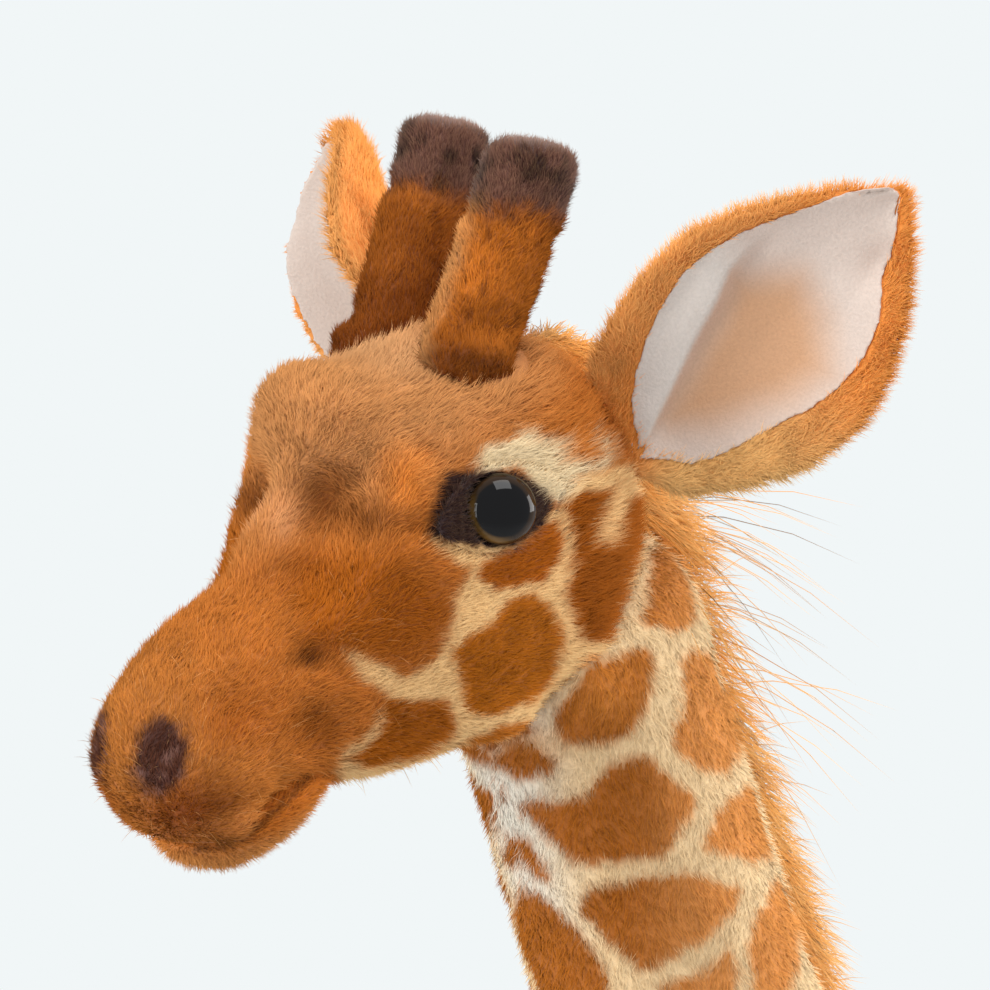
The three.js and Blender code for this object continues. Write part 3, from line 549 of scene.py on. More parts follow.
def triangles_of(points, corners):
    """The corners of each triangle, and twice its area."""
    a, b, c = (points[corners[:, i]] for i in range(3))
    return a, b, c, np.linalg.norm(np.cross(b - a, c - a), axis=1)


def unit(ways, least=0.0):
    return ways / (np.linalg.norm(ways, axis=1)[:, None] + least)


def scatter(piece, count, seed):
    """Places spread evenly over a cloth, with the direction that points out of it."""
    rng = np.random.default_rng(seed)
    points, normals, corners = shape_of(piece)
    a, b, c, area = triangles_of(points, corners)
    pick = rng.choice(len(corners), count, p=area / area.sum())
    u, v = rng.random(count), rng.random(count)
    flip = u + v > 1
    u, v = np.where(flip, 1 - u, u), np.where(flip, 1 - v, v)
    at = a[pick] + (b - a)[pick] * u[:, None] + (c - a)[pick] * v[:, None]
    out = (normals[corners[pick, 0]] * (1 - u - v)[:, None]
           + normals[corners[pick, 1]] * u[:, None] + normals[corners[pick, 2]] * v[:, None])
    return at, unit(out)


def tree_of(points, corners):
    return BVHTree.FromPolygons([Vector(p) for p in points], [tuple(c) for c in corners])


AROUND, OFF_CLOTH, OWN_REACH, ROOM_REACH = 8, 0.3, 7, 400


def open_places(piece, cad_nodes, at, out, room):
    """Which places have open air over them: no pile grows in a seam, a channel or a socket."""
    own = tree_of(*shape_of(piece)[::2])
    low, high = at.min(axis=0) - AROUND, at.max(axis=0) + AROUND
    points, corners, count = [], [], 0
    for name, node in frame["nodes"].items():
        if name in cad_nodes:
            continue
        p, _, c = shape_of(node)
        if (p.max(axis=0) < low).any() or (p.min(axis=0) > high).any():
            continue
        points.append(p)
        corners.append(c + count)
        count += len(p)
    others = tree_of(np.vstack(points), np.vstack(corners)) if points else None
    keep = np.ones(len(at), bool)
    for i, (p, n) in enumerate(zip(at, out)):
        start, way = Vector(p + n * OFF_CLOTH), Vector(n)
        if own.ray_cast(start, way, OWN_REACH)[0] is not None:
            keep[i] = False
        elif others is not None:
            hit = others.ray_cast(start, way, ROOM_REACH)
            if hit[0] is not None and (hit[3] < room or hit[1].dot(way) > 0):
                keep[i] = False
    return keep


FIBRE_TAPER, FIBRE_ROUNDNESS, TIP_ROUNDNESS = 0.55, 0.36, 0.3
CROSS_HELPER = 0.31
SHEET_EDGE, SHEET_CORNER = 0.02, 0.0012


def pile(name, at, way, out, length, width, hues, axis, parts=1, steps=1, droop=None,
         lit=None):
    """Fibres as thin closed spikes. Each stands at a place, points along way and bends by droop.
    Its colour goes from that of its foot to that of its tip, as printed pile does, and it is
    lit much as the cloth there is, or as a cloth that faces the way lit gives."""
    lit = out if lit is None else lit
    count = len(at)
    rng = np.random.default_rng(count)
    length = np.broadcast_to(length, count)
    width = np.broadcast_to(width, count)
    droop = np.zeros((count, 3)) if droop is None else droop
    side = unit(np.cross(way, out + CROSS_HELPER), 1e-9)
    third = np.cross(way, side)
    turn = rng.random(count) * 2 * math.pi
    rings, shares, facing = [], [], []
    for ring in range(steps):
        t = ring / steps
        centre = at + (way * t + droop * t * t) * length[:, None]
        for corner in range(3):
            angle = turn + corner * 2 * math.pi / 3
            reach = (width / 2 * (1 - FIBRE_TAPER * t))[:, None]
            spoke = side * np.cos(angle)[:, None] + third * np.sin(angle)[:, None]
            rings.append(centre + spoke * reach)
            shares.append(np.full(count, t))
            facing.append(lit + spoke * FIBRE_ROUNDNESS)
    rings.append(at + (way + droop) * length[:, None])
    shares.append(np.ones(count))
    facing.append(lit + way * TIP_ROUNDNESS)
    points = np.stack(rings, axis=1)
    share = np.stack(shares, axis=1)
    facing = np.stack(facing, axis=1)
    facing /= np.linalg.norm(facing, axis=2)[:, :, None]
    per = 3 * steps + 1
    faces = [(2, 1, 0)]
    for ring in range(steps - 1):
        for corner in range(3):
            a, b = 3 * ring + corner, 3 * ring + (corner + 1) % 3
            faces += [(a, b, b + 3), (a, b + 3, a + 3)]
    top = 3 * (steps - 1)
    faces += [(top + c, top + (c + 1) % 3, per - 1) for c in range(3)]
    faces = np.array(faces)
    axis_foot, axis_way = np.array(axis[0], float), np.array(axis[1], float)
    span = np.linalg.norm(axis_way)
    axis_way = axis_way / span
    off = at - axis_foot
    v = off @ axis_way / span
    off = off - (off @ axis_way)[:, None] * axis_way
    helper = np.cross(axis_way, [1.0, 0.02, 0.03])
    helper /= np.linalg.norm(helper)
    u = np.arctan2(off @ np.cross(axis_way, helper), off @ helper) / (2 * math.pi) + 0.5
    v = (v - v.min()) / max(np.ptp(v), 1e-6)
    made = []
    order = np.argsort(v * 7 % 1)
    for part in range(parts):
        pick = order[part::parts]
        mesh = bpy.data.meshes.new(name)
        n = len(pick)
        corners = (faces[None] + (np.arange(n) * per)[:, None, None]).reshape(-1, 3)
        mesh.vertices.add(n * per)
        mesh.vertices.foreach_set("co", (points[pick].reshape(-1, 3) / 1000).ravel())
        mesh.loops.add(len(corners) * 3)
        mesh.loops.foreach_set("vertex_index", corners.ravel())
        mesh.polygons.add(len(corners))
        mesh.polygons.foreach_set("loop_start", np.arange(len(corners)) * 3)
        mesh.update(calc_edges=True)
        blend_at = share[pick][:, :, None]
        tone = hues[0][pick][:, None] * (1 - blend_at) + hues[1][pick][:, None] * blend_at
        stain(mesh, tone.reshape(-1, 3))
        mark(mesh, "along", share[pick].ravel())
        mark(mesh, "lot", np.repeat(rng.random(n), per))
        nudge = np.stack([np.cos(np.arange(per) * 2.1), np.sin(np.arange(per) * 2.1)], axis=1)
        base = np.stack([u[pick], v[pick]], axis=1) * (1 - 2 * SHEET_EDGE) + SHEET_EDGE
        spots = (base[:, None] + nudge[None] * SHEET_CORNER).reshape(-1, 2)
        sheet = mesh.uv_layers.new(name="OFBake")
        sheet.data.foreach_set("uv", spots[corners.ravel()].ravel())
        mesh.shade_smooth()
        mesh.normals_split_custom_set_from_vertices(facing[pick].reshape(-1, 3))
        piece = bpy.data.objects.new(name if parts == 1 else f"{name}_{part + 1}", mesh)
        bpy.context.collection.objects.link(piece)
        made.append(piece)
    return made


TUFT_TURN, LOCK_TURN, TUFT_RISE = 0.55, 0.4, 0.15


def combed(at, out, comb, lift, fuzz, seed, tufts=7.0):
    """The way each fibre points: along the comb over the cloth, lifted off it, in small tufts."""
    rng = np.random.default_rng(seed)
    flat = unit(comb - out * np.sum(comb * out, axis=1)[:, None], 1e-6)
    aside = np.cross(out, flat)
    turn = noise(at, tufts, seed) * TUFT_TURN + noise(at, tufts * 0.35, seed + 1) * LOCK_TURN
    flat = flat * np.cos(turn)[:, None] + aside * np.sin(turn)[:, None]
    rise = lift + noise(at, tufts * 0.5, seed + 2) * TUFT_RISE
    way = out * rise[:, None] + flat * (1 - rise)[:, None]
    way += rng.normal(size=way.shape) * fuzz
    return unit(way)


def new_group(name, inputs, outputs):
    """A group of shader nodes with its sockets."""
    group = bpy.data.node_groups.new(name, "ShaderNodeTree")
    for way, sockets in (("INPUT", inputs), ("OUTPUT", outputs)):
        for socket, kind in sockets.items():
            group.interface.new_socket(name=socket, in_out=way, socket_type="NodeSocket" + kind)
    return (group, group.nodes, group.nodes.new("NodeGroupInput"),
            group.nodes.new("NodeGroupOutput"))


def pile_group():
    """Colour of a fibre, with painted shade that darkens its foot deep in the pile, painted light
    that makes its tip paler, and a little different in each.
    """
    group, nodes, inward, outward = new_group(
        "fibre_colour_and_shade", {"Tip Light": "Float", "Foot Shade": "Float"}, {"Color": "Color"})
    coat, along, lot = (new_node(nodes, "Attribute", attribute_name=word)
                        for word in ("coat", "along", "lot"))
    level = new_node(nodes, "MapRange", {"To Max": 1.22})
    vary = new_node(nodes, "MapRange", {"To Min": 0.91, "To Max": 1.09})
    both = new_node(nodes, "Math", operation="MULTIPLY")
    scale = new_node(nodes, "VectorMath", operation="SCALE")
    paler = new_node(nodes, "Math", {1: 3}, operation="POWER")
    share = new_node(nodes, "Math", operation="MULTIPLY")
    tipped = new_node(nodes, "MixRGB", {"Color2": solid(255, 214, 146)})
    join(group.links,
         (along, "Fac", level, "Value"), (inward, "Foot Shade", level, "To Min"),
         (lot, "Fac", vary, "Value"), (level, "Result", both, 0), (vary, "Result", both, 1),
         (coat, "Color", scale, 0), (both, 0, scale, "Scale"), (along, "Fac", paler, 0),
         (paler, 0, share, 0), (inward, "Tip Light", share, 1), (share, 0, tipped, "Fac"),
         (scale, 0, tipped, "Color1"), (tipped, "Color", outward, "Color"))
    return group


def cloth_group():
    """Colour and bump of the knitted backing between the fibres."""
    group, nodes, inward, outward = new_group(
        "backing", {"Depth": "Float"}, {"Color": "Color", "Normal": "Vector"})
    coat = new_node(nodes, "Attribute", attribute_name="coat")
    where = new_node(nodes, "TexCoord")
    fine = new_node(nodes, "TexNoise", {"Scale": 1400, "Detail": 3})
    level = new_node(nodes, "MapRange", {"To Min": 0.78, "To Max": 1.05})
    scale = new_node(nodes, "VectorMath", operation="SCALE")
    bump = new_node(nodes, "Bump", {"Distance": 0.0006})
    join(group.links,
         (where, "Object", fine, "Vector"), (fine, "Fac", level, "Value"),
         (coat, "Color", scale, 0), (level, "Result", scale, "Scale"),
         (scale, 0, outward, "Color"), (inward, "Depth", bump, "Strength"),
         (fine, "Fac", bump, "Height"), (bump, "Normal", outward, "Normal"))
    return group


FIBRE_COLOUR_AND_SHADE = pile_group()
BACKING = cloth_group()


def cloth_material(name, group, values, finish):
    """A material whose colour, and whose bump where there is one, come from a group."""
    made, nodes, links = new_material(name)
    hue = new_node(nodes, "Group", values, node_tree=group)
    surface = nodes["Principled BSDF"]
    join(links, (hue, "Color", surface, "Base Color"))
    if "Normal" in hue.outputs:
        join(links, (hue, "Normal", surface, "Normal"))
    set_values(surface, finish)
    return made


# tip is how much painted light pales a fibre's tip, foot how bright the painted shade leaves its
# foot.
def fibre_material(name, tip, foot, roughness, sheen):
    return cloth_material(name, FIBRE_COLOUR_AND_SHADE, {"Tip Light": tip, "Foot Shade": foot}, {
        "Roughness": roughness, "Sheen Weight": sheen, "Sheen Roughness": 0.5,
        "Specular IOR Level": 0.04})


def backing_material(name, depth, sheen):
    return cloth_material(name, BACKING, {"Depth": depth}, {
        "Roughness": 0.95, "Sheen Weight": sheen})


COAT_FIBRE = fibre_material("coat_fibre", 0.05, 0.85, 0.75, 0.0)
COAT_CLOTH = backing_material("coat_backing", 0.5, 0.0)
SHORTEST, LONGEST = 0.65, 1.2
FOOT_DEPTH, STRAY = 0.15, 0.3
FOOT_TONE_AT, TIP_TONE_AT = 0.25, 0.9


def finished(piece, material):
    piece.data.materials.append(material)


def dressed(name, under, cad_nodes, count, seed, tint, comb, length, width, axis, parts=1,
            lift=0.45, fuzz=0.22, material=None, slot="coat", room=1.3, steps=1, keep=None,
            droop=0.0, cloth=None, lit=None):
    """Pile on a cloth. Tint, comb, length and lit take places and outward directions."""
    if "coat" not in under.data.color_attributes:
        stain(under.data, tint(*shape_of(under)[:2]))
        finished(under, cloth or COAT_CLOTH)
    at, out = scatter(under, count, seed)
    good = open_places(under, cad_nodes, at, out, room)
    if keep is not None:
        good &= keep(at, out)
    at, out = at[good], out[good]
    rng = np.random.default_rng(seed + 50)
    way = combed(at, out, comb(at, out), lift, fuzz, seed)
    long = length(at, out) if callable(length) else np.full(len(at), float(length))
    long = long * rng.uniform(SHORTEST, LONGEST, len(at))
    stray = rng.normal(size=at.shape) * STRAY
    hues = [tint(at + stray + way * long[:, None] * part, out)
            for part in (FOOT_TONE_AT, TIP_TONE_AT)]
    made = pile(name, at - out * FOOT_DEPTH, way, out, long, width, hues, axis, parts, steps,
                droop=np.tile([0, 0, -droop], (len(at), 1)), lit=lit and lit(at, out))
    for piece in made:
        finished(piece, material or COAT_FIBRE)
    return made


def on_body(pieces):
    for piece in pieces:
        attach(piece, "figure")


def one_way(*way):
    """A comb that lays all of a piece's pile the same way."""
    return lambda at, out: np.tile(way, (len(at), 1))


def head_comb(at, out):
    along, _ = on_head(at)
    return -FORWARD + HEAD_UP * np.clip(along / 90, 0, 1)[:, None] * 0.5


def head_length(at, out):
    along, up = on_head(at)
    long = 3.7 - 0.9 * smooth(30, 90, along) + 2.4 * smooth(-10, -24, along)
    long -= 0.8 * (1 - smooth(-14, 6, up)) * smooth(-12, 0, along) * (1 - smooth(30, 50, along))
    near_eye = spot(mirrored(at), (36.3, -121.8, 525.2), (18, 18, 18))
    return long * (1 - 0.45 * near_eye)


PRESS_FALL = 1.8


def pressed(piece, presses):
    """Moves the cloth as a hand would: each press has a middle, a reach and a shift, and is
    done on both sides of the toy. A shift of one number goes outward."""
    points, normals, _ = shape_of(piece)
    sides = np.ones((len(points), 3))
    sides[points[:, 0] < 0, 0] = -1.0
    near = points * sides
    for middle, reach, shift in presses:
        share = np.exp(-PRESS_FALL * how_far(near, middle, reach) ** 2)[:, None]
        outward = np.ndim(shift) == 0
        points = points + (normals * shift if outward else np.array(shift) * sides) * share
    move_points(piece, points)


def sewn(part, voxel, passes, fill, *how, presses=(), **look):
    """A piece of plush: its cloth, pressed into shape, and the pile on it."""
    cloth = skin(part + "_cloth", [part], voxel, passes)
    if presses:
        pressed(cloth, presses)
    on_body([cloth] + dressed(part + "_pile", cloth, [part], *how, **look))
    return cloth


HEAD_PRESSES = [
    ((0, -160, 530), (34, 20, 22), -FORWARD * 7.0),
    ((8, -147, 551), (24, 14, 12), 6.0),
    ((20, -158, 532), (12, 10, 10), (-1.6, 1.9, 0)),
    ((18, -161, 521), (13, 11, 10), (-5.4, 6.2, 0)),
    ((18, -164, 509), (12, 10, 9), (-3.8, 4.5, 0)),
    ((16, -194, 482), (10, 10, 13), (-1.7, 2.1, 0)),
    ((14, -155, 539), (12, 12, 8), (-1.2, 1.5, 0)),
    ((12, -163, 526), (12, 12, 9), (-2.4, 2.9, 0)),
    ((10, -169, 506), (12, 12, 8), (-2.4, 2.9, 0)),
    ((20, -155.5, 524), (13, 13, 12), (-2.0, 2.4, 0)),
    ((27, -147, 532), (10, 10, 8), (-1.3, 1.6, 0)),
    ((20, -159, 512), (9, 9, 6), (-0.8, 1.0, 0)),
    ((20, -106, 475), (12, 17, 9), (1.6, -0.9, -5.0)),
    ((0, -166, 514), (13, 12, 16), 1.6),
    ((23.6, -154.9, 528.9), (9, 12, 14), -1.2),
    ((29, -143.4, 532.9), (8, 8, 9), 2.2),
    ((28.8, -138.1, 539), (5, 5, 6), -2.0),
    ((31.5, -144.0, 522.0), (6, 8, 3.5), -2.2),
    ((34.0, -119.0, 538.5), (8, 15, 5), 2.2),
    ((34.5, -126.0, 512.5), (8, 14, 5), 1.2),
    ((22.4, -164.3, 494.2), (8, 7, 5), -3.4),
    ((28, -91, 488), (12, 13, 14), (2.4, 5.4, -1.6)),
    ((24.0, -157.0, 500.0), (9, 9, 6), 1.2),
    ((22.3, -165.5, 477.7), (8, 7, 6), -2.0),
    ((13.1, -200.1, 475.5), (4.5, 5, 5), -2.2),
    ((0, -192, 460), (26, 16, 11), -HEAD_UP * 5.0),
    ((17.0, -190.0, 468.0), (8, 9, 6), 1.2),
    ((15.0, -180.0, 458.0), (9, 13, 7), -HEAD_UP * 3.2),
    ((16.0, -181.0, 459.5), (5, 12, 3.5), 1.6),
]
HEAD_AXIS = ((0, -62, 500), (0, -140, -45))
head_skin = sewn("head", 1.6, 8, 0.8, 140000, 11, head_coat, head_comb, head_length, 0.30,
                 HEAD_AXIS, presses=HEAD_PRESSES, parts=4, lift=0.36, fuzz=0.17)


def wisp_coat(points, normals):
    return layered(head_coat(points, normals), ((246, 190, 126), np.full(len(points), 0.28)))


on_body(dressed(
    "head_wisps", head_skin, ["head"], 2600, 19, wisp_coat, head_comb, 5.0, 0.17, HEAD_AXIS,
    lift=0.26, fuzz=0.42, steps=3, droop=0.25, keep=lambda at, out: on_head(at)[0] > 28))

# Lower jaw
# A small stuffed pad sewn under the muzzle, in the same plush, with a woolly chin.


def jaw_coat(points, normals):
    low = smooth(0.1, 0.9, -normals[:, 2])
    return layered(plain(points, 198, 112, 38), ((232, 170, 104), low * 0.45),
                   mouth_crease_shade(points, seen(points), -0.6, 0.5))


CHIN_LIFT, CHIN_BACK, CORNER_BACK = 0.15, 5.0, 10.0
jaw_skin = skin("jaw_cloth", ["lower_jaw"], 1.4, 8)
points, _, _ = shape_of(jaw_skin)
along, rise = on_head(points)
points = points + HEAD_UP * ((rise.max() - rise) * CHIN_LIFT)[:, None]
pull = smooth(60, 84, along) * CHIN_BACK + smooth(64, 44, along) * CORNER_BACK
move_points(jaw_skin, points - FORWARD * pull[:, None])
on_body([jaw_skin] + dressed(
    "jaw_pile", jaw_skin, ["lower_jaw"], 14000, 12, jaw_coat, one_way(*-FORWARD), 3.0, 0.30,
    ((0, -150, 460), (0, -45, -22)), lift=0.5, fuzz=0.26))

# Neck
# One long stuffed tube, sewn to the head and to the shoulders. Its coat has brown patches with
# cream lines between them, and it is cream at the throat.
PATCH_SPACING = 37.0
PATCH_GAP = 8.5
PATCH_TRIES = 900
LEG_HEIGHT, LEG_SPACING = 190, 0.62


def patch_middles():
    """Places spread over the neck, body and legs, no two closer than the patches' spacing."""
    rng = np.random.default_rng(5)
    spread = []
    for node in ("neck", "body", "front_leg_left", "rear_leg_left", "front_leg_right",
                 "rear_leg_right"):
        points, _, corners = shape_of(frame["nodes"][node])
        a, b, c, area = triangles_of(points, corners)
        pick = rng.choice(len(corners), PATCH_TRIES, p=area / area.sum())
        u = rng.random((PATCH_TRIES, 1)) ** 0.5
        v = rng.random((PATCH_TRIES, 1))
        spread.append(a[pick] * (1 - u) + b[pick] * u * (1 - v) + c[pick] * u * v)
    spread = np.vstack(spread)
    rng.shuffle(spread)
    chosen = []
    for p in spread:
        apart = PATCH_SPACING * (LEG_SPACING if p[2] < LEG_HEIGHT else 1.0)
        if all(np.linalg.norm(p - q) > apart for q in chosen):
            chosen.append(p)
    return np.array(chosen)


MIDDLES = patch_middles()


def patch_depth(points):
    """Millimetres inside a brown patch of the neck, body and legs, and which patch it is."""
    warp = noises(points, 16, 21, 22, 23) * 5
    warp += noises(points, 4, 24, 25, 26) * 1.2
    p = points + warp
    first, second = np.full(len(p), 1e9), np.full(len(p), 1e9)
    which = np.zeros(len(p), int)
    for i, m in enumerate(MIDDLES):
        far = np.linalg.norm(p - m, axis=1)
        nearer = far < first
        second = np.where(nearer, first, np.minimum(second, far))
        which = np.where(nearer, i, which)
        first = np.where(nearer, far, first)
    return (second - first - PATCH_GAP) / 2, which


def body_coat(points, normals):
    depth, which = patch_depth(points)
    tone = np.random.default_rng(8).uniform(-1, 1, len(MIDDLES))[which]
    height = points[:, 2]
    cream = layered(plain(points, *CREAM), ((252, 232, 200), smooth(0.2, 0.9, -normals[:, 2])))
    brown = plain(points, 194, 112, 36)
    brown = brown * (1 + 0.13 * tone + 0.08 * noise(points, 9, 31))[:, None]
    brown = layered(brown, ((214, 132, 56), smooth(2, 12, depth) * 0.35))
    share = smooth(-1.1, 1.1, depth)
    share *= 1 - smooth(0.55, 0.85, -normals[:, 2]) * (height < 300)
    share *= smooth(60, 110, height + noise(points, 12, 33) * 12)
    return blended(cream, brown, share)


def neck_coat(points, normals):
    ragged = noises(points, 7, 41, 42) * 1.1
    ragged += noises(points, 2, 43, 44) * 0.8
    at = seen(points) + ragged
    drawn = np.full(len(points), -1e9)
    for name, outline in PATCHES.items():
        if name.startswith("neck_") or name in ("across_seam", "throat", "thin_jaw"):
            drawn = np.maximum(drawn, depth_in(outline, at))
    share = smooth(0.08, 0.22, mirrored(normals) @ TO_CAMERA) * smooth(-120, -115, at[:, 1])
    depth = np.clip(drawn, -3, 3) * share + np.clip(patch_depth(points)[0], -3, 3) * (1 - share)
    cream = layered(plain(points, 255, 220, 168),
                    ((255, 247, 228), 1 - smooth(-6, 14, at[:, 0] + at[:, 1] * 0.12)),
                    ((244, 180, 112), spot(at, (5, -57), (17, 9)) * 0.85))
    brown = layered(plain(points, 182, 105, 34),
                    # Painted light: the brown is lighter towards the back of the neck and high up,
                    # as lit from behind.
                    ((234, 154, 80), smooth(28, 50, at[:, 0]) * smooth(330, 400, points[:, 2])),
                    # Painted light on the neck under the head's edge, where the head casts shade.
                    ((224, 138, 56), spot(at, (26, -44), (16, 16)) * 0.9))
    brown = mottled(brown, points, (0.08, 8, 45), (0.06, 3, 46))
    return blended(cream, brown, smooth(-1.0, 1.0, depth))


def neck_length(at, out):
    """Longer at the foot of the neck, where the pile falls over the seam with the shoulders."""
    return 3.6 + 3.0 * (1 - smooth(292, 318, at[:, 2]))


down = one_way(0.0, 0.12, -1.0)
sewn("neck", 2.4, 8, 0.8, 74000, 13, neck_coat, down, neck_length, 0.35,
     ((0, -30, 290), (0, -40, 210)), parts=2, lift=0.34, fuzz=0.18, presses=[
         ((15, -93, 470), (12, 10, 12), (2.4, -3.4, -1.4)),
         ((24, -86, 482), (10, 12, 14), (4.2, -3.0, -0.8))])

# Body
# The stuffed trunk, in the same plush as the neck. The legs and tail are sewn on under it.
sewn("body", 3.0, 8, 0.8, 44000, 14, body_coat, one_way(0.0, 0.75, -0.5), 5.4, 0.66,
     ((0, -55, 265), (0, 245, 0)), parts=2, lift=0.45)

# Legs
# Four stuffed legs, each sewn to the trunk over a bent wire that runs down to its hoof.


def box_of(part):
    return [np.array(corner) * 1000 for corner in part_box(part)]


def upright(part):
    """The foot and the rise of a part that stands upright."""
    low, high = box_of(part)
    middle = (low + high) / 2
    return (middle[0], middle[1], low[2]), (0, 0, high[2] - low[2])


for leg in ("front_leg_left", "front_leg_right", "rear_leg_left", "rear_leg_right"):
    sewn(leg, 2.4, 8, 0.75, 10500, 15 + len(leg), body_coat, down, 5.0, 0.62, upright(leg),
         lift=0.4)

# Hooves
# Stuffed cloth hooves of a short dark pile, with a flat felt sole stitched under each.
HOOF_FIBRE = fibre_material("hoof_fibre", 0.08, 0.7, 0.65, 0.3)
HOOF_CLOTH = backing_material("hoof_backing", 0.7, 0.2)
FELT = backing_material("sole_felt", 1.0, 0.1)


def hoof_coat(points, normals):
    return layered(plain(points, 92, 64, 52), ((70, 47, 38), 1 - smooth(2, 14, points[:, 2])))


for corner in ("front_left", "front_right", "rear_left", "rear_right"):
    hoof = "hoof_" + corner
    sewn(hoof, 1.5, 6, 0.9, 3600, 40 + len(corner), hoof_coat, down, 2.2, 0.42, upright(hoof),
         lift=0.4, material=HOOF_FIBRE, cloth=HOOF_CLOTH, slot="hoof_cloth", room=1.0)
    sole = skin("sole_felt_" + corner, ["hoof_sole_" + corner], 0.8, 3)
    stain(sole.data, plain(sole.data.vertices, 66, 45, 38))
    finished(sole, FELT)
    on_body([sole])

# Ossicones
# Two stuffed horns of the coat plush on the crown, each with a dark woolly cap.
DARK_FIBRE = fibre_material("dark_fibre", 0.12, 0.6, 0.7, 0.1)
DARK_CLOTH = backing_material("dark_backing", 0.8, 0.2)


def dark_coat(points, normals):
    return mottled(plain(points, 92, 58, 44), points, (0.2, 4, 52))


HORN_SHEAR = np.array([-2.6, -3.1, 0.0])
HORN_RADIUS = 10.2
HORN_TOP = 9.0
CAP_LENGTH = 16.8
SLICES, SLICE_HALF = 24, 2.5
for side in ("left", "right"):
    horn, cap = "ossicone_" + side, "ossicone_cap_" + side
    low, high = box_of(horn)
    cap_low, cap_high = box_of(cap)
    foot = np.append((low + high)[:2] / 2, low[2])
    rise = (cap_low + cap_high) / 2 - foot
    rise /= np.linalg.norm(rise)
    horn_skin = skin(horn + "_cloth", [horn, cap], 1.4, 6)
    points, _, _ = shape_of(horn_skin)
    up = (points - foot) @ rise
    tip = up.max()
    steps = np.linspace(3, tip - HORN_TOP, SLICES)
    rings = [points[np.abs(up - s) < SLICE_HALF] for s in steps]
    lines = np.array([ring.mean(axis=0) - rise * (ring.mean(axis=0) @ rise) for ring in rings])
    line = np.stack([np.interp(up, steps, lines[:, k]) for k in range(3)], axis=1)
    across = points - np.outer(points @ rise, rise) - line
    wide = [np.percentile(np.linalg.norm(r - np.outer(r @ rise, rise) - m, axis=1), 80)
            for r, m in zip(rings, lines)]
    across *= (HORN_RADIUS / np.interp(up, steps, wide))[:, None]
    part = np.stack([np.linalg.norm(across, axis=1) / HORN_RADIUS,
                     np.clip((up - tip + HORN_TOP) / HORN_TOP, 0, 1)], axis=1)
    squarer = 1 / (np.sum(part ** 4, axis=1) ** 0.25 + 1e-9)
    squarer = 1 + (np.minimum(squarer, 3) - 1) * smooth(3, 8, up)
    level = np.where(part[:, 1] > 0, tip - HORN_TOP + part[:, 1] * HORN_TOP * squarer, up)
    sheared = HORN_SHEAR * np.array([1.0 if side == "left" else -1.0, 1, 1])
    points = (line + across * squarer[:, None] + np.outer(level + foot @ rise, rise)
              + np.outer(1 - up / tip, sheared))
    move_points(horn_skin, points)

    def cap_share(points):
        up = (points - foot) @ rise
        up += noise(points, 3, 53) * 1.6 + noise(points, 0.9, 57) * 2.4
        return smooth(tip - CAP_LENGTH - 3.5, tip - CAP_LENGTH + 4, up)

    def horn_coat(points, normals):
        up = (points - foot) @ rise
        shade = layered(
            plain(points, 204, 116, 38),
            ((140, 72, 12), smooth(-0.6, 0.7, noise(points, 9, 51)) * 0.7),
            ((100, 44, 6), smooth(-0.1, 0.8, noise(points, 1.6, 58)) * 0.7),
            # Painted shade at the foot of the horn, where it meets the crown.
            ((104, 50, 12), (1 - smooth(3, 13, up)) * 0.7),
            # The far horn is painted in shade, darker still towards its foot; the near horn has a
            # painted highlight on its side towards the camera's left.
            ((112, 52, 10), 0.35 + (1 - smooth(12, 44, up)) * 0.4) if side == "right" else
            ((240, 176, 112), smooth(0.45, 0.95, -(normals @ CAMERA_RIGHT)) * 0.5))
        dark = layered(
            plain(points, 110, 72, 60),
            ((62, 38, 32), smooth(-0.2, 0.7, noise(points, 3.5, 54))),
            # A painted highlight on the top of the cap.
            ((160, 130, 120), smooth(0.45, 0.9, normals @ rise) * 0.7))
        return blended(shade, dark, cap_share(points))

    for name, count, in_cap in ((horn, 20000, False), (cap, 26000, True)):
        on_body(dressed(
            name + "_pile", horn_skin, [horn, cap], count, 60 + len(name), horn_coat,
            one_way(*rise), 3.0, 0.3, (foot, rise * tip), lift=0.32, fuzz=0.19,
            keep=lambda at, out: (cap_share(at) > 0.5) == in_cap,
            material=DARK_FIBRE if in_cap else None, slot="dark_plush" if in_cap else "coat"))
    on_body([horn_skin])

# Ears
# Each ear is a leaf of the coat plush with a pale velour lining sewn into its cup. It is held
# by its seam at the root.
EARS = {
    "left": {"root": (23.13, -73.19, 531.35), "along": (0.5327, 0.4909, 0.6894),
             "out": (0.6617, -0.7494, 0.0223), "across": (-0.5276, -0.4443, 0.7241)},
    "right": {"root": (-24.45, -76.09, 534.35), "along": (-0.5440, 0.0907, 0.8342),
              "out": (-0.3500, -0.9281, -0.1274), "across": (0.7626, -0.3612, 0.5366)},
}
FOLD = ([0, 7, 19, 31, 43, 50, 60], [-4, -1.3, 3.1, 7.7, 11.5, 14.7, 15.4])
FOLD_DEPTH = 2.4
FLAP = 1.1
LINING_OVER, LINING_UNDER = 0.9, -0.5
ABOVE_CUP, ACROSS_CUP = 14, 40
LEAF_EDGES = ([-2, 6, 14, 26, 33, 49, 60, 71, 82, 91.5],
              [-9, -18, -24, -29, -31, -31.5, -29, -23, -14.5, -5],
              [8, 17, 22.5, 26, 27.2, 27, 23.6, 18, 11.5, 4.5])
LINING_EDGES = ([3, 10, 17, 25, 33, 42, 51, 60, 68, 75, 80, 86, 91],
                [-6, -12.5, -16, -18, -19.6, -21.6, -22.6, -22, -18.4, -11.6, -9.4, -5.5, -1],
                [1, 7.5, 12.5, 17, 19.8, 21.8, 21.4, 19.2, 16, 13, 11.2, 8.6, 4.5])
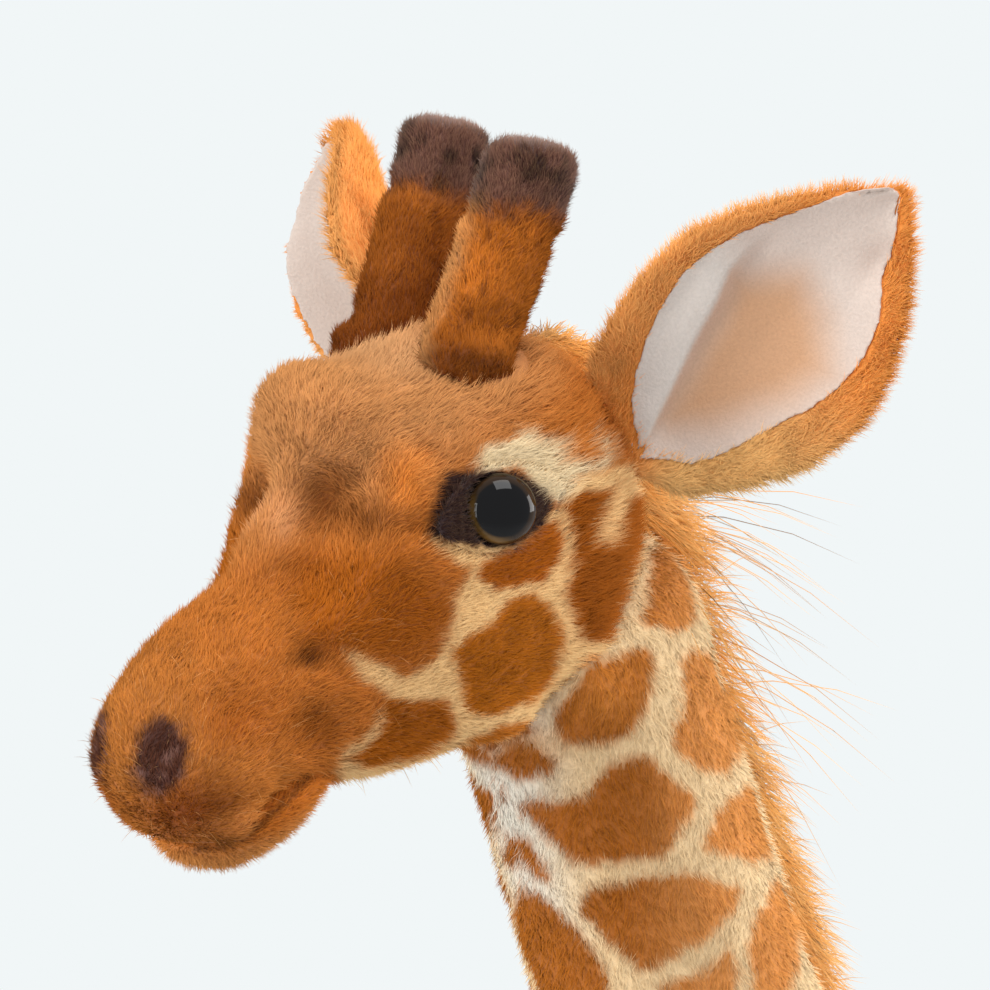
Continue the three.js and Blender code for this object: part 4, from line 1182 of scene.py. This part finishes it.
# The outline of the bowl, where painted shade and bounced light lie.
BOWL = [(13, 1), (50, 14.7), (61.6, 2.9), (59, -8), (51, -19), (38, -17), (20, -9), (13, -3)]
VELOUR_CLOTH = backing_material("velour_backing", 0.35, 0.3)
EAR_FIBRE = fibre_material("ear_fibre", 0.42, 0.84, 0.75, 0.0)

for side, ear in EARS.items():
    root, along, out_way, across = (np.array(ear[k]) for k in ("root", "along", "out", "across"))

    def on_ear(points):
        """How far points lie along the ear from its root, and across it."""
        return (points - root) @ along, (points - root) @ across

    def ear_coat(points, normals):
        reach, wide = on_ear(points)
        low = 1 - smooth(-14, 2, wide)
        shade = layered(plain(points, 246, 154, 70),
                        ((252, 204, 132), low * (1 - smooth(20, 60, reach)) * 0.85),
                        # Painted rim light: the upper rim is lighter, as lit from behind.
                        ((255, 178, 100), smooth(8, 22, wide) * 0.8))
        return mottled(shade, points, (0.10, 7, 55))

    def ear_length(at, out):
        """The pile is short along the far rim of the right ear, where it turns to the cup."""
        long = np.full(len(at), 4.4)
        if side == "right":
            long -= 2.4 * smooth(-2, -16, on_ear(at)[1])
        return long

    def ear_lit(at, out):
        """Light soaks through the pile of the rim, so it looks lit from the cup's side."""
        return out * 0.35 + np.outer(smooth(-0.8, 0.0, out @ out_way), out_way)

    def lining_coat(points, normals):
        reach, wide = on_ear(points)
        deep = depth_in(BOWL, np.stack([reach, wide], axis=1)) + noise(points, 9, 56)
        strip = smooth(-0.5, 0.5, wide - np.interp(reach, *FOLD)) * (1 - smooth(48, 60, reach))
        # The bowl is painted tan as painted shade and as painted light bounced from the orange
        # pile.
        return layered(plain(points, 218, 201, 188), ((208, 161, 122), smooth(-7, 8, deep)),
                       # The strip beside the fold is painted paler: a painted highlight on the
                       # flap.
                       ((222, 213, 203), strip))

    def ear_form(points):
        """The bowl sinks beside a fold that runs from the root up towards the tip."""
        reach, wide = on_ear(points)
        if side == "right":
            curl = 3.6 * smooth(10, 45, reach) * smooth(-12, 6, wide)
            far_rim = 8.0 * smooth(44, 72, reach) - 3.4 * smooth(60, 30, reach)
            curl += far_rim * smooth(6, -16, wide)
            points = points + np.outer(curl, out_way)
        fold = np.interp(reach, *FOLD)
        sunk = (1 - smooth(fold - 2.2, fold + 0.3, wide)) * smooth(3, 14, reach)
        sunk *= (1 - smooth(54, 66, reach)) * smooth(fold - 34, fold - 12, wide)
        if side == "left":
            sunk += 1.1 * np.exp(-((reach - 77) / 6) ** 2 - ((wide + 8) / 4.5) ** 2)
        return points - out_way * (sunk * FOLD_DEPTH)[:, None]

    def refit(points, edges):
        """Moves a leaf's two long edges to the lines given, and what lies between with them."""
        reach, wide = on_ear(points)
        height = (points - root) @ out_way
        steps = np.linspace(reach.min(), reach.max(), 30)
        near = [np.abs(reach - s) < 3 for s in steps]
        low = np.interp(reach, steps, [wide[n].min() for n in near])
        high = np.interp(reach, steps, [wide[n].max() for n in near])
        marks, lows, highs = edges
        share = (wide - low) / np.maximum(high - low, 1)
        reach = marks[0] + (reach - reach.min()) / np.ptp(reach) * (marks[-1] - marks[0])
        new_low, new_high = np.interp(reach, marks, lows), np.interp(reach, marks, highs)
        wide = new_low + share * (new_high - new_low)
        return root + np.outer(reach, along) + np.outer(wide, across) + np.outer(height, out_way)

    def ear_comb(at, out):
        aside = np.clip(on_ear(at)[1] / 22, -1, 1)
        return along * 0.7 + np.outer(aside, across) + out_way * 0.1

    def bent(pieces):
        for piece in pieces:
            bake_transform(piece)

    ear_skin = skin("ear_" + side + "_cloth", ["ear_" + side], 1.3, 5)
    leaf_points = shape_of(ear_skin)[0]
    if side == "left":
        leaf_points = refit(leaf_points, LEAF_EDGES)
    move_points(ear_skin, ear_form(leaf_points))
    lining = skin("ear_" + side + "_velour", ["ear_lining_" + side], 0.9, 4)
    points, normals, _ = shape_of(lining)
    if side == "left":
        points = refit(points, LINING_EDGES)
    else:
        reach, wide = on_ear(points)
        points -= np.outer(smooth(0, -14, wide) * smooth(4, 16, reach) * 2.8, across)
        points += np.outer(smooth(50, 80, reach) * 3.0, along)
    leaf = tree_of(*shape_of(ear_skin)[::2])
    top = normals @ out_way > 0
    for i, p in enumerate(points):
        hit = leaf.ray_cast(Vector(p + out_way * ABOVE_CUP), Vector(-out_way), ACROSS_CUP)[0]
        if hit is not None:
            points[i] = np.array(hit) + out_way * (LINING_OVER if top[i] else LINING_UNDER)
    reach, wide = on_ear(points)
    past_fold = wide - np.interp(reach, *FOLD)
    flap = smooth(-0.6, 0.7, past_fold) * smooth(4, 14, reach)
    flap *= (1 - smooth(50, 62, reach)) * (1 - smooth(3, 9, past_fold))
    points += np.outer(flap * top * FLAP, out_way)
    move_points(lining, points)
    relaxed(lining, 2)
    points, normals, corners = shape_of(lining)
    stain(lining.data, lining_coat(points, normals))
    finished(lining, VELOUR_CLOTH)
    cover = tree_of(*shape_of(lining)[::2])

    def bare(at, out):
        """Where no lining lies over the leaf."""
        return np.array([cover.ray_cast(Vector(p - out_way * 3), Vector(out_way), 9)[0] is None
                         or n @ out_way < 0 for p, n in zip(at, out)])

    bent([ear_skin, lining] + dressed(
        "ear_" + side + "_pile", ear_skin, ["ear_" + side, "ear_lining_" + side], 39000,
        80 + len(side), ear_coat, ear_comb, ear_length, 0.28, (root - along * 2, along * 94),
        lift=0.34, fuzz=0.19, keep=bare, room=2.6, lit=ear_lit, material=EAR_FIBRE))

# Eyes
# Safety eyes: a domed cap of clear brown plastic with a black pupil, on a ribbed post that a
# washer locks behind the cloth. A patch of dark plush is sewn on behind each.
EYE_RADIUS, EYE_RIM, EYE_DOME, EYE_POST = 8.25, 1.2, 6.4, 14.0
EYE_SEATS = {"left": ((36.283, -121.827, 525.233), (0.82184, -0.56159, 0.09588)),
             "right": ((-36.264, -121.814, 525.231), (-0.82184, -0.56159, 0.09588))}
eye_plastic, nodes, links = new_material("eye_plastic")
PUPIL = (5, 5, 6)


def rings_of(rows):
    """Colours that run from the eye's middle to its rim."""
    ramp = new_node(nodes, "ValToRGB")
    bands = ramp.color_ramp.elements
    while len(bands) < len(rows):
        bands.new(0.5)
    for band, (place, hue) in zip(bands, rows):
        band.position = place
        band.color = solid(*hue)
    return ramp


disc, low = (new_node(nodes, "Attribute", attribute_name=word) for word in ("disc", "low"))
ring = rings_of(((0.0, PUPIL), (0.74, PUPIL), (0.80, (38, 26, 14)), (0.90, (50, 34, 18)),
                 (0.96, (16, 12, 10))))
# Painted light: the iris ring is lighter and golder on its lower side, where light through the
# clear dome falls on it.
lit_gold_ring = rings_of(((0.0, PUPIL), (0.72, PUPIL), (0.79, (96, 72, 36)), (0.89, (112, 82, 40)),
                 (0.96, (24, 18, 12))))
mixed = new_node(nodes, "MixRGB")
surface = nodes["Principled BSDF"]
join(links, (disc, "Fac", ring, "Fac"), (disc, "Fac", lit_gold_ring, "Fac"), (low, "Fac", mixed, "Fac"),
     (ring, "Color", mixed, "Color1"), (lit_gold_ring, "Color", mixed, "Color2"),
     (mixed, "Color", surface, "Base Color"))
set_values(surface, {"Roughness": 0.3, "Specular IOR Level": 0.0, "Coat Weight": 1.0,
                     "Coat Roughness": 0.015, "Coat IOR": 1.32})


def turned(name, profile, steps):
    """A closed turned shape. Its profile gives radius and height from one end to the other."""
    bpy.ops.mesh.primitive_circle_add(vertices=steps, radius=0.001, fill_type="NOTHING")
    piece = bpy.context.object
    piece.name = piece.data.name = name
    ring_points = [(math.cos(2 * math.pi * s / steps), math.sin(2 * math.pi * s / steps))
                   for s in range(steps)]
    points, faces = [], []
    for radius, height in profile:
        points += [(radius * x, radius * y, height) for x, y in ring_points]
    for r in range(len(profile) - 1):
        for s in range(steps):
            a, b = r * steps + s, r * steps + (s + 1) % steps
            faces.append((a, b, b + steps, a + steps))
    faces.append(tuple(reversed(range(steps))))
    faces.append(tuple(range((len(profile) - 1) * steps, len(profile) * steps)))
    piece.data.clear_geometry()
    piece.data.from_pydata(points, [], faces)
    return piece


POST_RADIUS, RIB_RADIUS, RIBS = 1.65, 2.1, 5
DOME_STEPS, EYE_SIDES = 24, 72
PATCH_FIBRE_LENGTH = 2.6

for side, (seat, outwards) in EYE_SEATS.items():
    axis = Vector(outwards).normalized()
    seat, ahead = np.array(seat), np.array(axis)
    points, _, _ = shape_of(frame["nodes"]["eye_" + side])
    top = ((points - seat) @ ahead).max()
    seat_height = top - EYE_DOME
    post_foot = top - EYE_POST
    profile = [(POST_RADIUS, post_foot)]
    pitch = (seat_height - post_foot) / RIBS
    for rib in range(RIBS):
        foot = post_foot + pitch * (rib + 0.5)
        profile += [(POST_RADIUS, foot), (RIB_RADIUS, foot + pitch / 3)]
    profile += [(RIB_RADIUS, seat_height), (7.3, seat_height), (7.9, seat_height + 0.15),
                (8.15, seat_height + 0.5), (EYE_RADIUS, seat_height + 0.9)]
    for step in range(DOME_STEPS):
        turn = math.pi / 2 * step / DOME_STEPS
        profile.append((EYE_RADIUS * math.cos(turn),
                        seat_height + EYE_RIM + (EYE_DOME - EYE_RIM) * math.sin(turn)))
    profile.append((0.15, top))
    eye = turned("eye_dome_" + side, profile, EYE_SIDES)
    unplaced = np.array([v.co for v in eye.data.vertices])
    mark(eye.data, "disc", np.where(
        unplaced[:, 2] > seat_height + 0.8,
        np.hypot(unplaced[:, 0], unplaced[:, 1]) / EYE_RADIUS, 1.0))
    spin = axis.to_track_quat("Z", "Y").to_matrix().to_4x4()
    eye.data.transform(Matrix.Translation(Vector(seat)) @ spin)
    placed = np.array([v.co for v in eye.data.vertices]) - seat
    # The share of that painted light grows towards the lower side of the eye.
    aim = np.array([-0.5, -0.75, -0.75])
    aim = aim - ahead * (aim @ ahead)
    aim /= np.linalg.norm(aim)
    mark(eye.data, "low", smooth(1.5, 5.5, placed @ aim))
    eye.data.transform(Matrix.Scale(0.001, 4))
    eye.data.shade_smooth()
    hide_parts("eye_" + side)
    finished(eye, eye_plastic)
    on_body([eye])
    sewn("eye_patch_" + side, 0.7, 3, None, 5200, 100 + len(side), head_coat, one_way(*-FORWARD),
         PATCH_FIBRE_LENGTH, 0.26, (seat - ahead * 20, ahead * 40), lift=0.42, fuzz=0.26,
         material=DARK_FIBRE, cloth=DARK_CLOTH, slot="dark_plush", room=0.5)

# Mane
# A narrow strip of long orange pile, sewn down the nape from the crown to the withers.
MANE_FIBRE = fibre_material("mane_fibre", 0.35, 0.7, 0.55, 0.2)
NAPE_LENGTH, WISP_LENGTH, WISP_RARITY = 12, 34, 0.52


def mane_coat(points, normals):
    return layered(plain(points, 250, 166, 70),
                   ((255, 210, 140), np.abs(noise(points, 6, 61)) * 0.8))


def mane_length(at, out):
    """Most of the hair is short. Some of it, near the crown, stands out in long wisps."""
    wild = noise(at, 2.2, 62) > WISP_RARITY
    crown = smooth(430, 475, at[:, 2]) * (1 - smooth(515, 530, at[:, 2]))
    short = NAPE_LENGTH + 3 * smooth(440, 480, at[:, 2]) - 9 * smooth(505, 527, at[:, 2])
    return short + 6 * np.abs(noise(at, 7, 63)) + wild * crown * WISP_LENGTH


def mane_comb(at, out):
    level = smooth(470, 505, at[:, 2])
    return np.column_stack([np.zeros(len(at)), np.full(len(at), 0.9), level * 0.8 - 0.8])


sewn("mane", 1.8, 6, None, 11000, 120, mane_coat, mane_comb, mane_length, 0.34,
     ((0, -30, 290), (0, -40, 260)), lift=0.5, fuzz=0.24, steps=3, material=MANE_FIBRE,
     slot="mane", droop=0.3)

# Tail
# A thin cord of the coat plush with a tuft of long dark hair, sewn on above the hind legs.
tail_skin = skin("tail_cloth", ["tail"], 1.3, 4)
tuft_skin = skin("tuft_cloth", ["tail_tuft"], 1.5, 4)
tail_pieces = [tail_skin] + dressed(
    "tail_pile", tail_skin, ["tail"], 5000, 130, body_coat, down, 3.6, 0.42,
    ((0, 186, 176), (0, 0, 120)), lift=0.4)
tail_pieces += [tuft_skin] + dressed(
    "tuft_pile", tuft_skin, ["tail_tuft"], 2800, 131, dark_coat, down, 15.0, 0.5,
    ((0, 190, 104), (0, 0, 72)), lift=0.22, fuzz=0.18, steps=3, material=DARK_FIBRE,
    cloth=DARK_CLOTH, slot="dark_plush", droop=0.25)
for piece in tail_pieces:
    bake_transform(piece)

# Locking washers and wires
# They lie inside the toy: a pressed white washer behind each eye and soft bent steel wires.
washer_plastic = speckled("washer_plastic", 900, (226, 224, 216), (238, 237, 232),
                          {"Roughness": 0.45})
steel = speckled("wire_steel", 600, (150, 153, 156), (172, 175, 178),
                 {"Metallic": 1, "Roughness": 0.38})
for name, finish in (("eye_washer_left", washer_plastic), ("eye_washer_right", washer_plastic),
                     ("front_leg_wire", steel), ("rear_leg_wire", steel), ("spine_wire", steel)):
    for place in frame["nodes"][name].material_slots:
        place.material = finish
